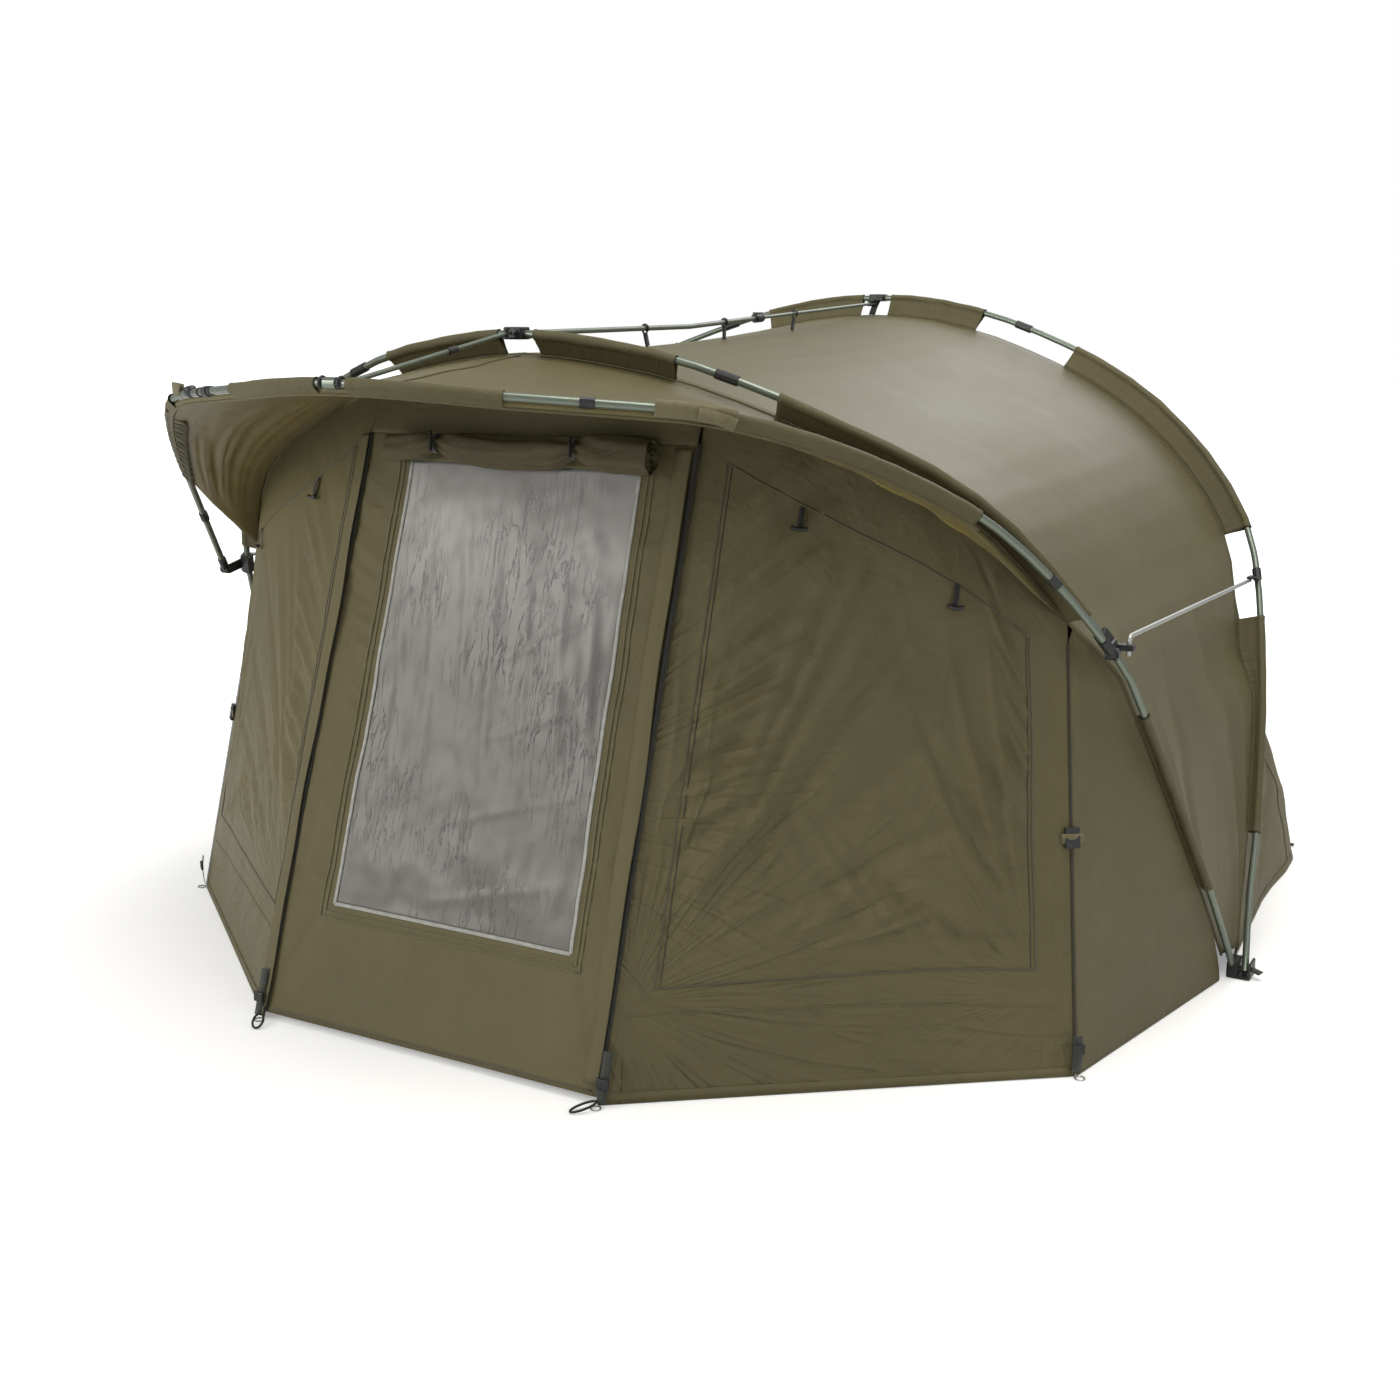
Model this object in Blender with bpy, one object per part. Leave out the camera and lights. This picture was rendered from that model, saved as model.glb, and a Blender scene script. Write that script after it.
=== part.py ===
import math

import bmesh
import bpy
from mathutils import Vector

for leftover in list(bpy.data.objects):
    bpy.data.objects.remove(leftover, do_unlink=True)

# Frame: metres, Z up, X across the tent, -Y towards the door. Everything is drawn from the line
# between the two feet and moved at the end so that the origin is under the middle of the box.
FOOT_HALF_SPAN = 1.5
FRONT_RISE = 1.905
REAR_RISE = 1.983
FRONT_LEAN = math.radians(32.1)
REAR_LEAN = math.radians(30.6)

# Half of each rib seen square on: share of the half span, share of the rise.
FRONT_RIB_SHARES = (
    (0.9920, 0.0), (0.9773, 0.0913), (0.9627, 0.1748), (0.9273, 0.3407), (0.8893, 0.4982),
    (0.8660, 0.5696), (0.7000, 0.7827), (0.4213, 0.9181), (0.3447, 0.9423), (0.2680, 0.9659),
    (0.1453, 0.9874), (0.0, 1.0),
)
REAR_RIB_SHARES = (
    (1.0080, 0.0), (0.9920, 0.1009), (0.9833, 0.1916), (0.9527, 0.3767), (0.9060, 0.5527),
    (0.8707, 0.6283), (0.8247, 0.6858), (0.7527, 0.7514), (0.6593, 0.8174), (0.5673, 0.8664),
    (0.4680, 0.9077), (0.3473, 0.9470), (0.2527, 0.9718), (0.1220, 0.9939), (0.0, 1.0),
)

# The storm pole springs from the elbows and bows forward: shares of half width, reach and lift.
ELBOW_PIVOT_Y = -0.650
ELBOW_PIVOT_Z = 0.932
STORM_HALF_WIDTH = 1.315
STORM_REACH = 0.9955
STORM_LIFT = 0.591
STORM_POLE_SHARES = (
    (1.0, 0.0, 0.0), (0.9316, 0.1607, 0.2961), (0.8479, 0.3265, 0.5482), (0.7224, 0.5223, 0.7547),
    (0.5696, 0.7032, 0.8968), (0.3817, 0.8388, 0.9442), (0.2700, 0.9101, 0.9628),
    (0.1369, 0.9764, 0.9898), (0.0, 1.0, 1.0),
)

# Tubes and their fittings.
TUBE_RADIUS = 0.00875
TUBE_SIDES = 10
RIB_STEPS = 48
STORM_STEPS = 42
POCKET_SIDES = 6
SLIP = 0.0003
JOINT_GAP = 0.001
PINHOLE = 0.00001
COLLAR_WALL = 0.0025
COLLAR_LENGTH = 0.054
COLLAR_HALF_WIDTH = 0.5175
STORM_COLLAR_SHARE = 0.9316
STORM_FRONT_COLLAR_SHARE = 0.3817
STORM_COLLAR_LENGTH = 0.030

# Cloth: the skins hang from an edge strip a little inside each rib.
CLOTH = 0.0015
FRONT_ARCH_DROP = 0.055
REAR_ARCH_DROP = 0.066
LEG_DROP = 0.022
FRONT_DROP_RISES = (1.00, 1.22)
REAR_DROP_RISES = (0.74, 0.92)
STRIP_HALF = 0.002
WEB_HALF = 0.0008
SKIN_STAND_OFF = 0.0032
SLEEVE_WALL = 0.002
ROOF_SAG = 0.025
GROUND_CLEAR = 0.0015

# Sleeve runs: from one rise to a higher one on the legs, from one half width to a smaller on top.
FRONT_LEG_SLEEVE = (0.33, 0.90)
FRONT_SIDE_SLEEVE_RISE = 1.19
FRONT_COLLAR_OPENING = (0.1145, 0.1155)
FRONT_SIDE_SLEEVE_HALF_WIDTH = COLLAR_HALF_WIDTH + FRONT_COLLAR_OPENING[0]
FRONT_FIN_HALF_WIDTHS = (COLLAR_HALF_WIDTH - FRONT_COLLAR_OPENING[1], 0.050)
REAR_LEG_SLEEVE = (0.38, 0.925)
REAR_SIDE_SLEEVE_RISE = 1.246
REAR_COLLAR_OPENING = (0.1845, 0.1385)
REAR_SIDE_SLEEVE_HALF_WIDTH = COLLAR_HALF_WIDTH + REAR_COLLAR_OPENING[0]
REAR_FIN_HALF_WIDTHS = (COLLAR_HALF_WIDTH - REAR_COLLAR_OPENING[1], 0.050)
STORM_SLEEVE_HALF_WIDTHS = ((1.115, 0.760), (0.355, 0.040))
STORM_STRIP_DROP = 0.024
CANOPY_RAISE = 0.012

# Feet.
FOOT_PIVOT_Z = 0.024
FOOT_BLOCK_SIZE = (0.060, 0.064, 0.045)
FOOT_BLOCK_BEVEL = 0.005
FOOT_SLOT_OFFSET = 0.011
FOOT_SLOT_X = FOOT_HALF_SPAN + FOOT_SLOT_OFFSET
FOOT_SLOT_WIDTH = 0.0275
FOOT_SLOT_FLOOR = 0.007
PIN_RADIUS = 0.004
PIN_SLIP = 0.0004
REAR_LEG_TAIL = 0.012
FRONT_LEG_START = 0.030

# Elbows.
ELBOW_RISE = 1.115
ELBOW_BLOCK_SIZE = (0.028, 0.028, 0.070)
ELBOW_EAR_RADIUS = 0.013
ELBOW_HEAD_RADIUS = 0.0075
ELBOW_HEAD_THICKNESS = 0.0025
KNUCKLE_HALF_WIDTH = 0.0095
KNUCKLE_X = (STORM_HALF_WIDTH - KNUCKLE_HALF_WIDTH, STORM_HALF_WIDTH + KNUCKLE_HALF_WIDTH)
ELBOW_EAR_THICKNESS = 0.006
ELBOW_EAR_OUTSIDE = KNUCKLE_X[0] - JOINT_GAP / 2
ELBOW_EAR_X = (ELBOW_EAR_OUTSIDE - ELBOW_EAR_THICKNESS, ELBOW_EAR_OUTSIDE)
KNUCKLE_RADIUS = 0.0138
KNUCKLE_SOCKET_RADIUS = 0.0120
KNUCKLE_SOCKET_END = 0.048
KNUCKLE_RELIEF_RADIUS = 0.0185
STORM_POLE_START = 0.021

# Side bars.
SIDE_BAR_RADIUS = 0.0055
SIDE_BAR_PIN_OFFSET = 0.011
SIDE_BAR_PIN_X = STORM_HALF_WIDTH + SIDE_BAR_PIN_OFFSET
SIDE_BAR_PIN_Y = -0.572
SIDE_BAR_PIN_Z = (0.916, 0.960)
SIDE_BAR_SPLAY = 0.016
SIDE_BAR_TIP = (SIDE_BAR_PIN_X + SIDE_BAR_SPLAY, 0.5375, 0.941)
SIDE_BAR_BRACKET_Z = (0.928, 0.942)
SIDE_BAR_BRACKET_SIDE = 0.026
REAR_BAR_COLLAR_RISES = (1.094, 1.124)
REAR_BAR_LUG_THICKNESS = 0.005
REAR_BAR_LUG_LENGTH = 0.030
REAR_BAR_LUG_WIDTH = 0.030

# Centre blocks, ridge bar and peak strut.
FRONT_BLOCK_SIZE = (0.050, 0.036, 0.028)
REAR_BLOCK_SIZE = (0.050, 0.040, 0.0228)
BLOCK_BEVEL = 0.003
EAR_REACH = 0.038
EAR_THICKNESS = 0.0045
EAR_RADIUS = 0.011
EYE_HEIGHT = 0.016
RIDGE_TUBE_RADIUS = 0.0065
RIDGE_BORE_RADIUS = 0.0053
RIDGE_ROD_RADIUS = 0.0050
RIDGE_BEND_Y = -0.220
RIDGE_TUBE_END_Y = 0.169
RIDGE_TUBE_END_Z = 1.645
RIDGE_ROD_END_Y = 0.985
RIDGE_ROD_END_Z = 1.690
RIDGE_ROD_INSERT = 0.060
RIDGE_SLIDE = 0.300
CLAMP_WALL = 0.006
CLAMP_LENGTH = 0.040
CLAMP_LEVER_SIZE = (0.012, 0.046, 0.006)
STRUT_RADIUS = 0.0055
STRUT_TIP_Y = -1.616
STRUT_TIP_Z = 1.519
STRUT_COLLAR_SHARE = 0.36
CLIP_WIDTH = 0.030
CLIP_TONGUE_THICKNESS = 0.004
CLIP_TONGUE_REACH = 0.042

# Front: door, seams and walls. Slope runs are measured up the leaning door plane.
DOOR_FOOT_Y = -1.4475
DOOR_LEAN = math.radians(18.7)
DOOR_HALF_WIDTH_FOOT = 0.477
DOOR_HALF_WIDTH_TOP = 0.461
DOOR_TOP_SLOPE = 1.455
DOOR_FOOT_SLOPE = 0.018
DOOR_SEAM_TOP_SLOPE = 1.582
SEAM_GAP = 0.0012
DOOR_SEAM_GAP = 0.0006
WINDOW_HALF_WIDTH = 0.322
WINDOW_SLOPES = (0.305, 1.385)
WINDOW_SHEET = 0.0008
ROLL_RADIUS = 0.021
ROLL_HALF_WIDTH = 0.372
ROLL_SLOPE = 1.420
SIDE_PEG_INSET = 0.179
SIDE_PEG = (FOOT_HALF_SPAN - SIDE_PEG_INSET, -0.797)
SIDE_SEAM_INSET = 0.301
SIDE_SEAM_HALF_WIDTH = FOOT_HALF_SPAN - SIDE_SEAM_INSET
FLAP_EDGE_GAP = 0.010
FLAP_WIDTH = 0.046
FLAP_SEWN = 0.0024
FLAP_STAND_OFF = 0.008
FLAP_SWAY = 0.002
FLAP_SLOPES = (0.045, 1.440)
BUCKLE_Z = 0.520
BUCKLE_SIZE = (0.034, 0.046, 0.010)
SLIDER_SIZE = (0.009, 0.007, 0.016)
SLIDER_SLOPE = 0.110
SLIDER_STAND_OFF = 0.0052
PULL_LENGTH = 0.030
RING_RADIUS = 0.011
RING_WIRE = 0.0018

# Back: hem on the ground.
BACK_PEG_INSET = 0.125
BACK_PEG = (FOOT_HALF_SPAN - BACK_PEG_INSET, 1.1975)
BACK_HEM = (0.550, 1.380)
BACK_HEM_INSET = 0.048
BACK_HEM_START = (FOOT_HALF_SPAN - BACK_HEM_INSET, 0.085)
SKIN_FOOT_RISE = 0.105


# Curves.


class Run:
    """A smooth curve through knots in straight steps, followed by a share from 0 to 1."""

    def __init__(self, knots, steps):
        self.knots = knots
        self.marks = [0.0]
        for before, after in zip(knots, knots[1:]):
            self.marks.append(self.marks[-1] + (after - before).length)
        self.length = self.marks[-1]
        self.steps = steps
        self.stations = [self.smooth(i / steps) for i in range(steps + 1)]

    def at(self, share):
        place = min(max(share, 0.0), 1.0) * self.steps
        index = min(int(place), self.steps - 1)
        return blend(self.stations[index], self.stations[index + 1], place - index)

    def between(self, start, end):
        """Shares from start to end with every station between them."""
        low, high = min(start, end), max(start, end)
        margin = 0.08 / self.steps
        inside = [i / self.steps for i in range(self.steps + 1)]
        shares = [start] + [share for share in inside if low + margin < share < high - margin] + [end]
        return sorted(shares, reverse=start > end)

    def slope(self, index):
        low = max(index - 1, 0)
        high = min(index + 1, len(self.knots) - 1)
        return (self.knots[high] - self.knots[low]) / (self.marks[high] - self.marks[low])

    def smooth(self, share):
        mark = share * self.length
        index = 0
        while index < len(self.knots) - 2 and self.marks[index + 1] < mark:
            index += 1
        span = self.marks[index + 1] - self.marks[index]
        t = (mark - self.marks[index]) / span
        start, end = self.knots[index], self.knots[index + 1]
        return (
            start * (2 * t**3 - 3 * t**2 + 1)
            + self.slope(index) * (span * (t**3 - 2 * t**2 + t))
            + end * (3 * t**2 - 2 * t**3)
            + self.slope(index + 1) * (span * (t**3 - t**2))
        )

    def share_where(self, axis, value, start, end):
        """The share between start and end at which one coordinate takes this value."""
        rising = self.at(end)[axis] > self.at(start)[axis]
        for _ in range(48):
            middle = (start + end) / 2
            if (self.at(middle)[axis] < value) == rising:
                start = middle
            else:
                end = middle
        return (start + end) / 2


def blend(first, second, share):
    return first * (1 - share) + second * share


def mirrored(knots):
    return knots + [Vector((-k.x,) + tuple(k[1:])) for k in reversed(knots[:-1])]


def smooth_step(value, low, high):
    t = min(max((value - low) / (high - low), 0.0), 1.0)
    return t * t * (3 - 2 * t)


class Rib:
    """A hoop in a leaning plane through the feet. Share 0 is the +X foot, 0.5 the top."""

    def __init__(self, shares, rise, lean, facing, drop_rises, arch_drop):
        knots = [Vector((FOOT_HALF_SPAN * across, rise * up)) for across, up in shares]
        self.run = Run(mirrored(knots), RIB_STEPS)
        self.up = Vector((0.0, facing * math.sin(lean), math.cos(lean)))
        self.out = Vector((0.0, facing * math.cos(lean), -math.sin(lean)))
        self.drop_rises = drop_rises
        self.arch_drop = arch_drop

    def rise_share(self, rise):
        return self.run.share_where(1, rise, 0.0, 0.5)

    def width_share(self, half_width):
        return self.run.share_where(0, half_width, 0.0, 0.5)

    def tangent(self, share):
        step = 0.002
        flat = self.run.at(share + step) - self.run.at(share - step)
        return flat.normalized()

    def inward(self, share):
        flat = self.tangent(share)
        return Vector((-flat.y, 0.0, 0.0)) + self.up * flat.x

    def along(self, share):
        flat = self.tangent(share)
        return Vector((flat.x, 0.0, 0.0)) + self.up * flat.y

    def point(self, share, inset=0.0, out=0.0):
        flat = self.run.at(share)
        middle = Vector((flat.x, 0.0, 0.0)) + self.up * flat.y
        return middle + self.inward(share) * inset + self.out * out

    def drop(self, share):
        low, high = self.drop_rises
        rise = self.run.at(share).y
        return LEG_DROP + (self.arch_drop - LEG_DROP) * smooth_step(rise, low, high)

    def skin(self, share, out):
        return self.point(share, self.drop(share), out)

    def points(self, start, end):
        return [self.point(share) for share in self.run.between(start, end)]


FRONT = Rib(FRONT_RIB_SHARES, FRONT_RISE, FRONT_LEAN, -1, FRONT_DROP_RISES, FRONT_ARCH_DROP)
REAR = Rib(REAR_RIB_SHARES, REAR_RISE, REAR_LEAN, 1, REAR_DROP_RISES, REAR_ARCH_DROP)
STORM = Run(
    mirrored(
        [
            Vector(
                (
                    STORM_HALF_WIDTH * across,
                    ELBOW_PIVOT_Y - STORM_REACH * forward,
                    ELBOW_PIVOT_Z + STORM_LIFT * up,
                )
            )
            for across, forward, up in STORM_POLE_SHARES
        ]
    ),
    STORM_STEPS,
)
STORM_DROP = Vector((0.0, 0.25, -0.97))


def storm_share(half_width):
    return STORM.share_where(0, half_width, 0.0, 0.5)


def storm_points(start, end):
    return [STORM.at(share) for share in STORM.between(start, end)]


def storm_tangent(share):
    step = 0.004
    return (STORM.at(share + step) - STORM.at(share - step)).normalized()


def storm_drop_point(share, drop):
    tangent = storm_tangent(share)
    side = (STORM_DROP - tangent * STORM_DROP.dot(tangent)).normalized()
    return STORM.at(share) + side * drop


# Solids.


def mesh_object(name, points, faces):
    mesh = bpy.data.meshes.new(name)
    mesh.from_pydata([tuple(point) for point in points], [], [tuple(face) for face in faces])
    work = bmesh.new()
    work.from_mesh(mesh)
    bmesh.ops.recalc_face_normals(work, faces=work.faces)
    work.to_mesh(mesh)
    work.free()
    obj = bpy.data.objects.new(name, mesh)
    bpy.context.scene.collection.objects.link(obj)
    return obj


def bake(obj):
    """Applies the modifiers of an object to its mesh."""
    graph = bpy.context.evaluated_depsgraph_get()
    mesh = bpy.data.meshes.new_from_object(obj.evaluated_get(graph))
    obj.modifiers.clear()
    obj.data = mesh
    return obj


def combine(body, others, operation):
    for other in others:
        modifier = body.modifiers.new(operation.title(), "BOOLEAN")
        modifier.operation = operation
        modifier.solver = "EXACT"
        modifier.object = other
        bake(body)
        bpy.data.objects.remove(other, do_unlink=True)
    return body


def close_up(obj):
    """Closes the pinholes that a union can leave between faces that nearly meet."""
    work = bmesh.new()
    work.from_mesh(obj.data)
    bmesh.ops.triangulate(work, faces=work.faces)
    bmesh.ops.remove_doubles(work, verts=work.verts, dist=PINHOLE)
    bmesh.ops.dissolve_degenerate(work, edges=work.edges, dist=PINHOLE)
    bmesh.ops.holes_fill(work, edges=work.edges, sides=4)
    bmesh.ops.triangulate(work, faces=work.faces)
    work.to_mesh(obj.data)
    work.free()


def joined(body, *others):
    return combine(body, others, "UNION")


def cut(body, *others):
    return combine(body, others, "DIFFERENCE")


def around(radius, sides=TUBE_SIDES):
    """Corner radius of a polygon whose flats stand at this radius."""
    return radius / math.cos(math.pi / sides)


def circle(radius, sides=TUBE_SIDES):
    turns = [2 * math.pi * (k + 0.5) / sides for k in range(sides)]
    return [(radius * math.cos(turn), radius * math.sin(turn)) for turn in turns]


def swept(name, points, sides_at, outer, inner=None):
    """A section carried along points. sides_at(i) leans the section's first axis."""
    loops = [outer] if inner is None else [outer, inner]
    count = len(outer)
    stride = count * len(loops)
    last = len(points) - 1
    vertices = []
    for i, point in enumerate(points):
        tangent = (points[min(i + 1, last)] - points[max(i - 1, 0)]).normalized()
        lean = sides_at(i)
        side = (lean - tangent * lean.dot(tangent)).normalized()
        across = tangent.cross(side)
        for loop in loops:
            vertices += [point + side * u + across * v for u, v in loop]
    faces = []
    for i in range(last):
        a, b = i * stride, (i + 1) * stride
        for k in range(count):
            n = (k + 1) % count
            faces.append((a + k, a + n, b + n, b + k))
            if inner is not None:
                faces.append((a + count + k, b + count + k, b + count + n, a + count + n))
    end = last * stride
    if inner is None:
        faces.append(list(range(count))[::-1])
        faces.append([end + k for k in range(count)])
    else:
        for k in range(count):
            n = (k + 1) % count
            faces.append((n, k, count + k, count + n))
            faces.append((end + k, end + n, end + count + n, end + count + k))
    return mesh_object(name, vertices, faces)


def steady(points):
    """A direction that is never along the run from the first point to the last."""
    run = (points[-1] - points[0]).normalized()
    best = min(range(3), key=lambda axis: abs(run[axis]))
    lean = Vector((0.0, 0.0, 0.0))
    lean[best] = 1.0
    return lambda i: lean


def tube(name, points, radius, bore=None, sides=TUBE_SIDES):
    inner = None if bore is None else circle(bore, sides)
    return swept(name, points, steady(points), circle(radius, sides), inner)


def bore(name, points, radius):
    """A cutter that leaves its slip everywhere round a piece of this radius."""
    return tube(name, points, around(radius))


def rib_tube(name, rib, start, end):
    return tube(name, rib.points(start, end), TUBE_RADIUS)


def box(name, centre, size, axes=None, bevel=0.0):
    axes = axes or (Vector((1, 0, 0)), Vector((0, 1, 0)), Vector((0, 0, 1)))
    corners = []
    for x in (-0.5, 0.5):
        for y in (-0.5, 0.5):
            for z in (-0.5, 0.5):
                offset = axes[0] * (x * size[0]) + axes[1] * (y * size[1]) + axes[2] * (z * size[2])
                corners.append(centre + offset)
    faces = ((0, 1, 3, 2), (4, 6, 7, 5), (0, 4, 5, 1), (2, 3, 7, 6), (0, 2, 6, 4), (1, 5, 7, 3))
    obj = mesh_object(name, corners, faces)
    if bevel:
        modifier = obj.modifiers.new("Edges", "BEVEL")
        modifier.width = bevel
        modifier.segments = 2
        bake(obj)
    return obj


def span_box(name, low, high, bevel=0.0):
    low, high = Vector(low), Vector(high)
    return box(name, (low + high) / 2, high - low, bevel=bevel)


def cloth(name, rows, thickness=CLOTH, closed=False):
    """A sheet through rows of points, given its thickness evenly on both sides."""
    wide = len(rows[0])
    faces = []
    for i in range(len(rows) - 1):
        for k in range(wide if closed else wide - 1):
            n = (k + 1) % wide
            faces.append((i * wide + k, i * wide + n, (i + 1) * wide + n, (i + 1) * wide + k))
    obj = mesh_object(name, [point for row in rows for point in row], faces)
    modifier = obj.modifiers.new("Cloth", "SOLIDIFY")
    modifier.thickness = thickness
    modifier.offset = 0.0
    modifier.use_even_offset = True
    return bake(obj)


SIDES = (("R", 1), ("L", -1))
ORIGINS = {}


def flipped(vector, side):
    return Vector((vector[0] * side, vector[1], vector[2]))


def both(build):
    """Builds a piece for the +X side and for the -X side."""
    for letter, side in SIDES:
        build(letter, side)


def side_share(share, side):
    return share if side > 0 else 1 - share


# Feet: each block is a socket for the front leg beside a slot with the pivot of the rear leg.
def foot_axis():
    return Vector((0.0, 0.0, FOOT_PIVOT_Z))


def foot_block(letter, side):
    name = "foot_block_" + letter
    wide, deep, tall = FOOT_BLOCK_SIZE
    block = box(
        name, Vector((FOOT_HALF_SPAN * side, 0.0, tall / 2)), (wide, deep, tall), bevel=FOOT_BLOCK_BEVEL
    )
    low = Vector((FOOT_SLOT_X - FOOT_SLOT_WIDTH / 2, -deep, FOOT_SLOT_FLOOR))
    high = Vector((FOOT_SLOT_X + FOOT_SLOT_WIDTH / 2, deep, 2 * tall))
    slot = box("slot", flipped((low + high) / 2, side), high - low)
    low, high = (FRONT.rise_share(rise) for rise in (FRONT_LEG_START - JOINT_GAP, 2 * tall))
    start, end = (flipped(FRONT.point(share), side) for share in (low, high))
    socket = bore("socket", [start, end], TUBE_RADIUS + SLIP)
    cut(block, slot, socket)
    inner = FOOT_SLOT_X - FOOT_SLOT_WIDTH / 2 - PIN_RADIUS
    outer = FOOT_SLOT_X + FOOT_SLOT_WIDTH / 2 + PIN_RADIUS
    ends = [flipped((x, 0.0, FOOT_PIVOT_Z), side) for x in (inner, outer)]
    joined(block, tube("pin", ends, PIN_RADIUS))


def front_leg(letter, side):
    start = side_share(FRONT.rise_share(FRONT_LEG_START), side)
    end = side_share(FRONT.rise_share(ELBOW_RISE - JOINT_GAP / 2), side)
    rib_tube("front_leg_" + letter, FRONT, start, end)


def rear_leg_rib(letter, side):
    """Leg and side of the rear rib in one tube, down to the pivot eye."""
    collar = REAR.width_share(COLLAR_HALF_WIDTH)
    start = REAR.rise_share(FOOT_PIVOT_Z)
    run = REAR.points(start, collar)
    run[-1] += (run[-2] - run[-1]).normalized() * (JOINT_GAP / 2)
    first = (run[1] - run[0]).normalized()
    pivot = Vector((FOOT_SLOT_X, 0.0, FOOT_PIVOT_Z))
    leg_start = pivot - first * REAR_LEG_TAIL
    run = [leg_start] + run[1:]
    leg = tube("rear_rib_" + letter, [flipped(p, side) for p in run], TUBE_RADIUS)
    reach = FOOT_SLOT_WIDTH
    ends = [flipped((FOOT_SLOT_X + x, 0.0, FOOT_PIVOT_Z), side) for x in (-reach, reach)]
    cut(leg, bore("bore", ends, PIN_RADIUS + PIN_SLIP))
    ORIGINS[leg.name] = foot_axis()


# Elbows: a block clamps the front leg to the rib side and carries the storm pole's knuckle.
def elbow_block(letter, side):
    share = FRONT.rise_share(ELBOW_RISE)
    centre = FRONT.point(share)
    along, out = FRONT.along(share), FRONT.out
    block = box(
        "elbow_block_" + letter, centre, ELBOW_BLOCK_SIZE, (along.cross(out), out, along), BLOCK_BEVEL
    )
    pivot = Vector((sum(ELBOW_EAR_X) / 2, ELBOW_PIVOT_Y, ELBOW_PIVOT_Z))
    thick = ELBOW_EAR_X[1] - ELBOW_EAR_X[0]
    back = Vector((pivot.x, centre.y, centre.z))
    run = back - pivot
    arm = box(
        "arm",
        (back + pivot) / 2,
        (thick, run.length, 2 * ELBOW_EAR_RADIUS),
        (Vector((1, 0, 0)), run.normalized(), Vector((1, 0, 0)).cross(run.normalized())),
    )
    disc = tube(
        "disc",
        [Vector((x, ELBOW_PIVOT_Y, ELBOW_PIVOT_Z)) for x in ELBOW_EAR_X],
        ELBOW_EAR_RADIUS,
        sides=24,
    )
    head_x = KNUCKLE_X[1] + JOINT_GAP / 2
    pin = tube(
        "pin",
        [Vector((x, ELBOW_PIVOT_Y, ELBOW_PIVOT_Z)) for x in (ELBOW_EAR_X[0] + thick / 2, head_x)],
        PIN_RADIUS,
    )
    head = tube(
        "head",
        [
            Vector((x, ELBOW_PIVOT_Y, ELBOW_PIVOT_Z))
            for x in (head_x - SLIP / 2, head_x + ELBOW_HEAD_THICKNESS)
        ],
        ELBOW_HEAD_RADIUS,
        sides=16,
    )
    low, high = SIDE_BAR_BRACKET_Z
    half = SIDE_BAR_BRACKET_SIDE / 2
    bracket = span_box(
        "bracket",
        (centre.x, SIDE_BAR_PIN_Y - half, low),
        (SIDE_BAR_PIN_X + half, SIDE_BAR_PIN_Y + half, high),
        BLOCK_BEVEL,
    )
    joined(block, arm, disc, pin, head, bracket)
    reach = ELBOW_BLOCK_SIZE[2] / FRONT.run.length
    socket = bore("socket", FRONT.points(share - reach, share + reach), TUBE_RADIUS + SLIP)
    post = Vector((SIDE_BAR_PIN_X, SIDE_BAR_PIN_Y, 0.0))
    hole = bore(
        "hole",
        [post + Vector((0, 0, z)) for z in (low - half, high + half)],
        SIDE_BAR_RADIUS + PIN_SLIP,
    )
    cut(block, socket, hole)
    if side < 0:
        turn_over(block)


def turn_over(obj):
    """Mirrors a finished piece in the plane x = 0."""
    work = bmesh.new()
    work.from_mesh(obj.data)
    for vertex in work.verts:
        vertex.co.x = -vertex.co.x
    bmesh.ops.reverse_faces(work, faces=work.faces)
    work.to_mesh(obj.data)
    work.free()


def storm_knuckle(letter, side):
    pivot = Vector((sum(KNUCKLE_X) / 2, ELBOW_PIVOT_Y, ELBOW_PIVOT_Z))
    hub = tube(
        "storm_knuckle_" + letter,
        [Vector((x, pivot.y, pivot.z)) for x in KNUCKLE_X],
        KNUCKLE_RADIUS,
        sides=24,
    )
    run = (STORM.at(0.03) - STORM.at(0.0)).normalized()
    base = STORM.at(0.0)
    socket = tube(
        "socket", [base + run * PIN_RADIUS, base + run * KNUCKLE_SOCKET_END], KNUCKLE_SOCKET_RADIUS, sides=16
    )
    joined(hub, socket)
    clear = tube(
        "clear",
        [
            Vector((ELBOW_EAR_X[0] - KNUCKLE_RADIUS, pivot.y, pivot.z)),
            Vector((KNUCKLE_X[0], pivot.y, pivot.z)),
        ],
        KNUCKLE_RELIEF_RADIUS,
        sides=24,
    )
    outside = tube(
        "outside",
        [
            Vector((KNUCKLE_X[1], pivot.y, pivot.z)),
            Vector((KNUCKLE_X[1] + KNUCKLE_RADIUS, pivot.y, pivot.z)),
        ],
        ELBOW_HEAD_RADIUS + JOINT_GAP,
        sides=24,
    )
    hole = bore(
        "hole",
        [Vector((x, pivot.y, pivot.z)) for x in (KNUCKLE_X[0] - PIN_RADIUS, KNUCKLE_X[1] + PIN_RADIUS)],
        PIN_RADIUS + PIN_SLIP,
    )
    start = (STORM_POLE_START - JOINT_GAP) / STORM.length
    end = 2 * KNUCKLE_SOCKET_END / STORM.length
    seat = bore("seat", storm_points(start, end), TUBE_RADIUS + SLIP)
    cut(hub, clear, outside, hole, seat)
    if side < 0:
        turn_over(hub)
    ORIGINS[hub.name] = elbow_axis()


def elbow_axis():
    return Vector((0.0, ELBOW_PIVOT_Y, ELBOW_PIVOT_Z))


def storm_pole(letter, side):
    start = STORM_POLE_START / STORM.length
    end = storm_share(STORM_HALF_WIDTH * STORM_FRONT_COLLAR_SHARE) - JOINT_GAP / 2 / STORM.length
    points = [flipped(point, side) for point in storm_points(start, end)]
    pole = tube("storm_pole_" + letter, points, TUBE_RADIUS)
    ORIGINS[pole.name] = elbow_axis()


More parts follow.
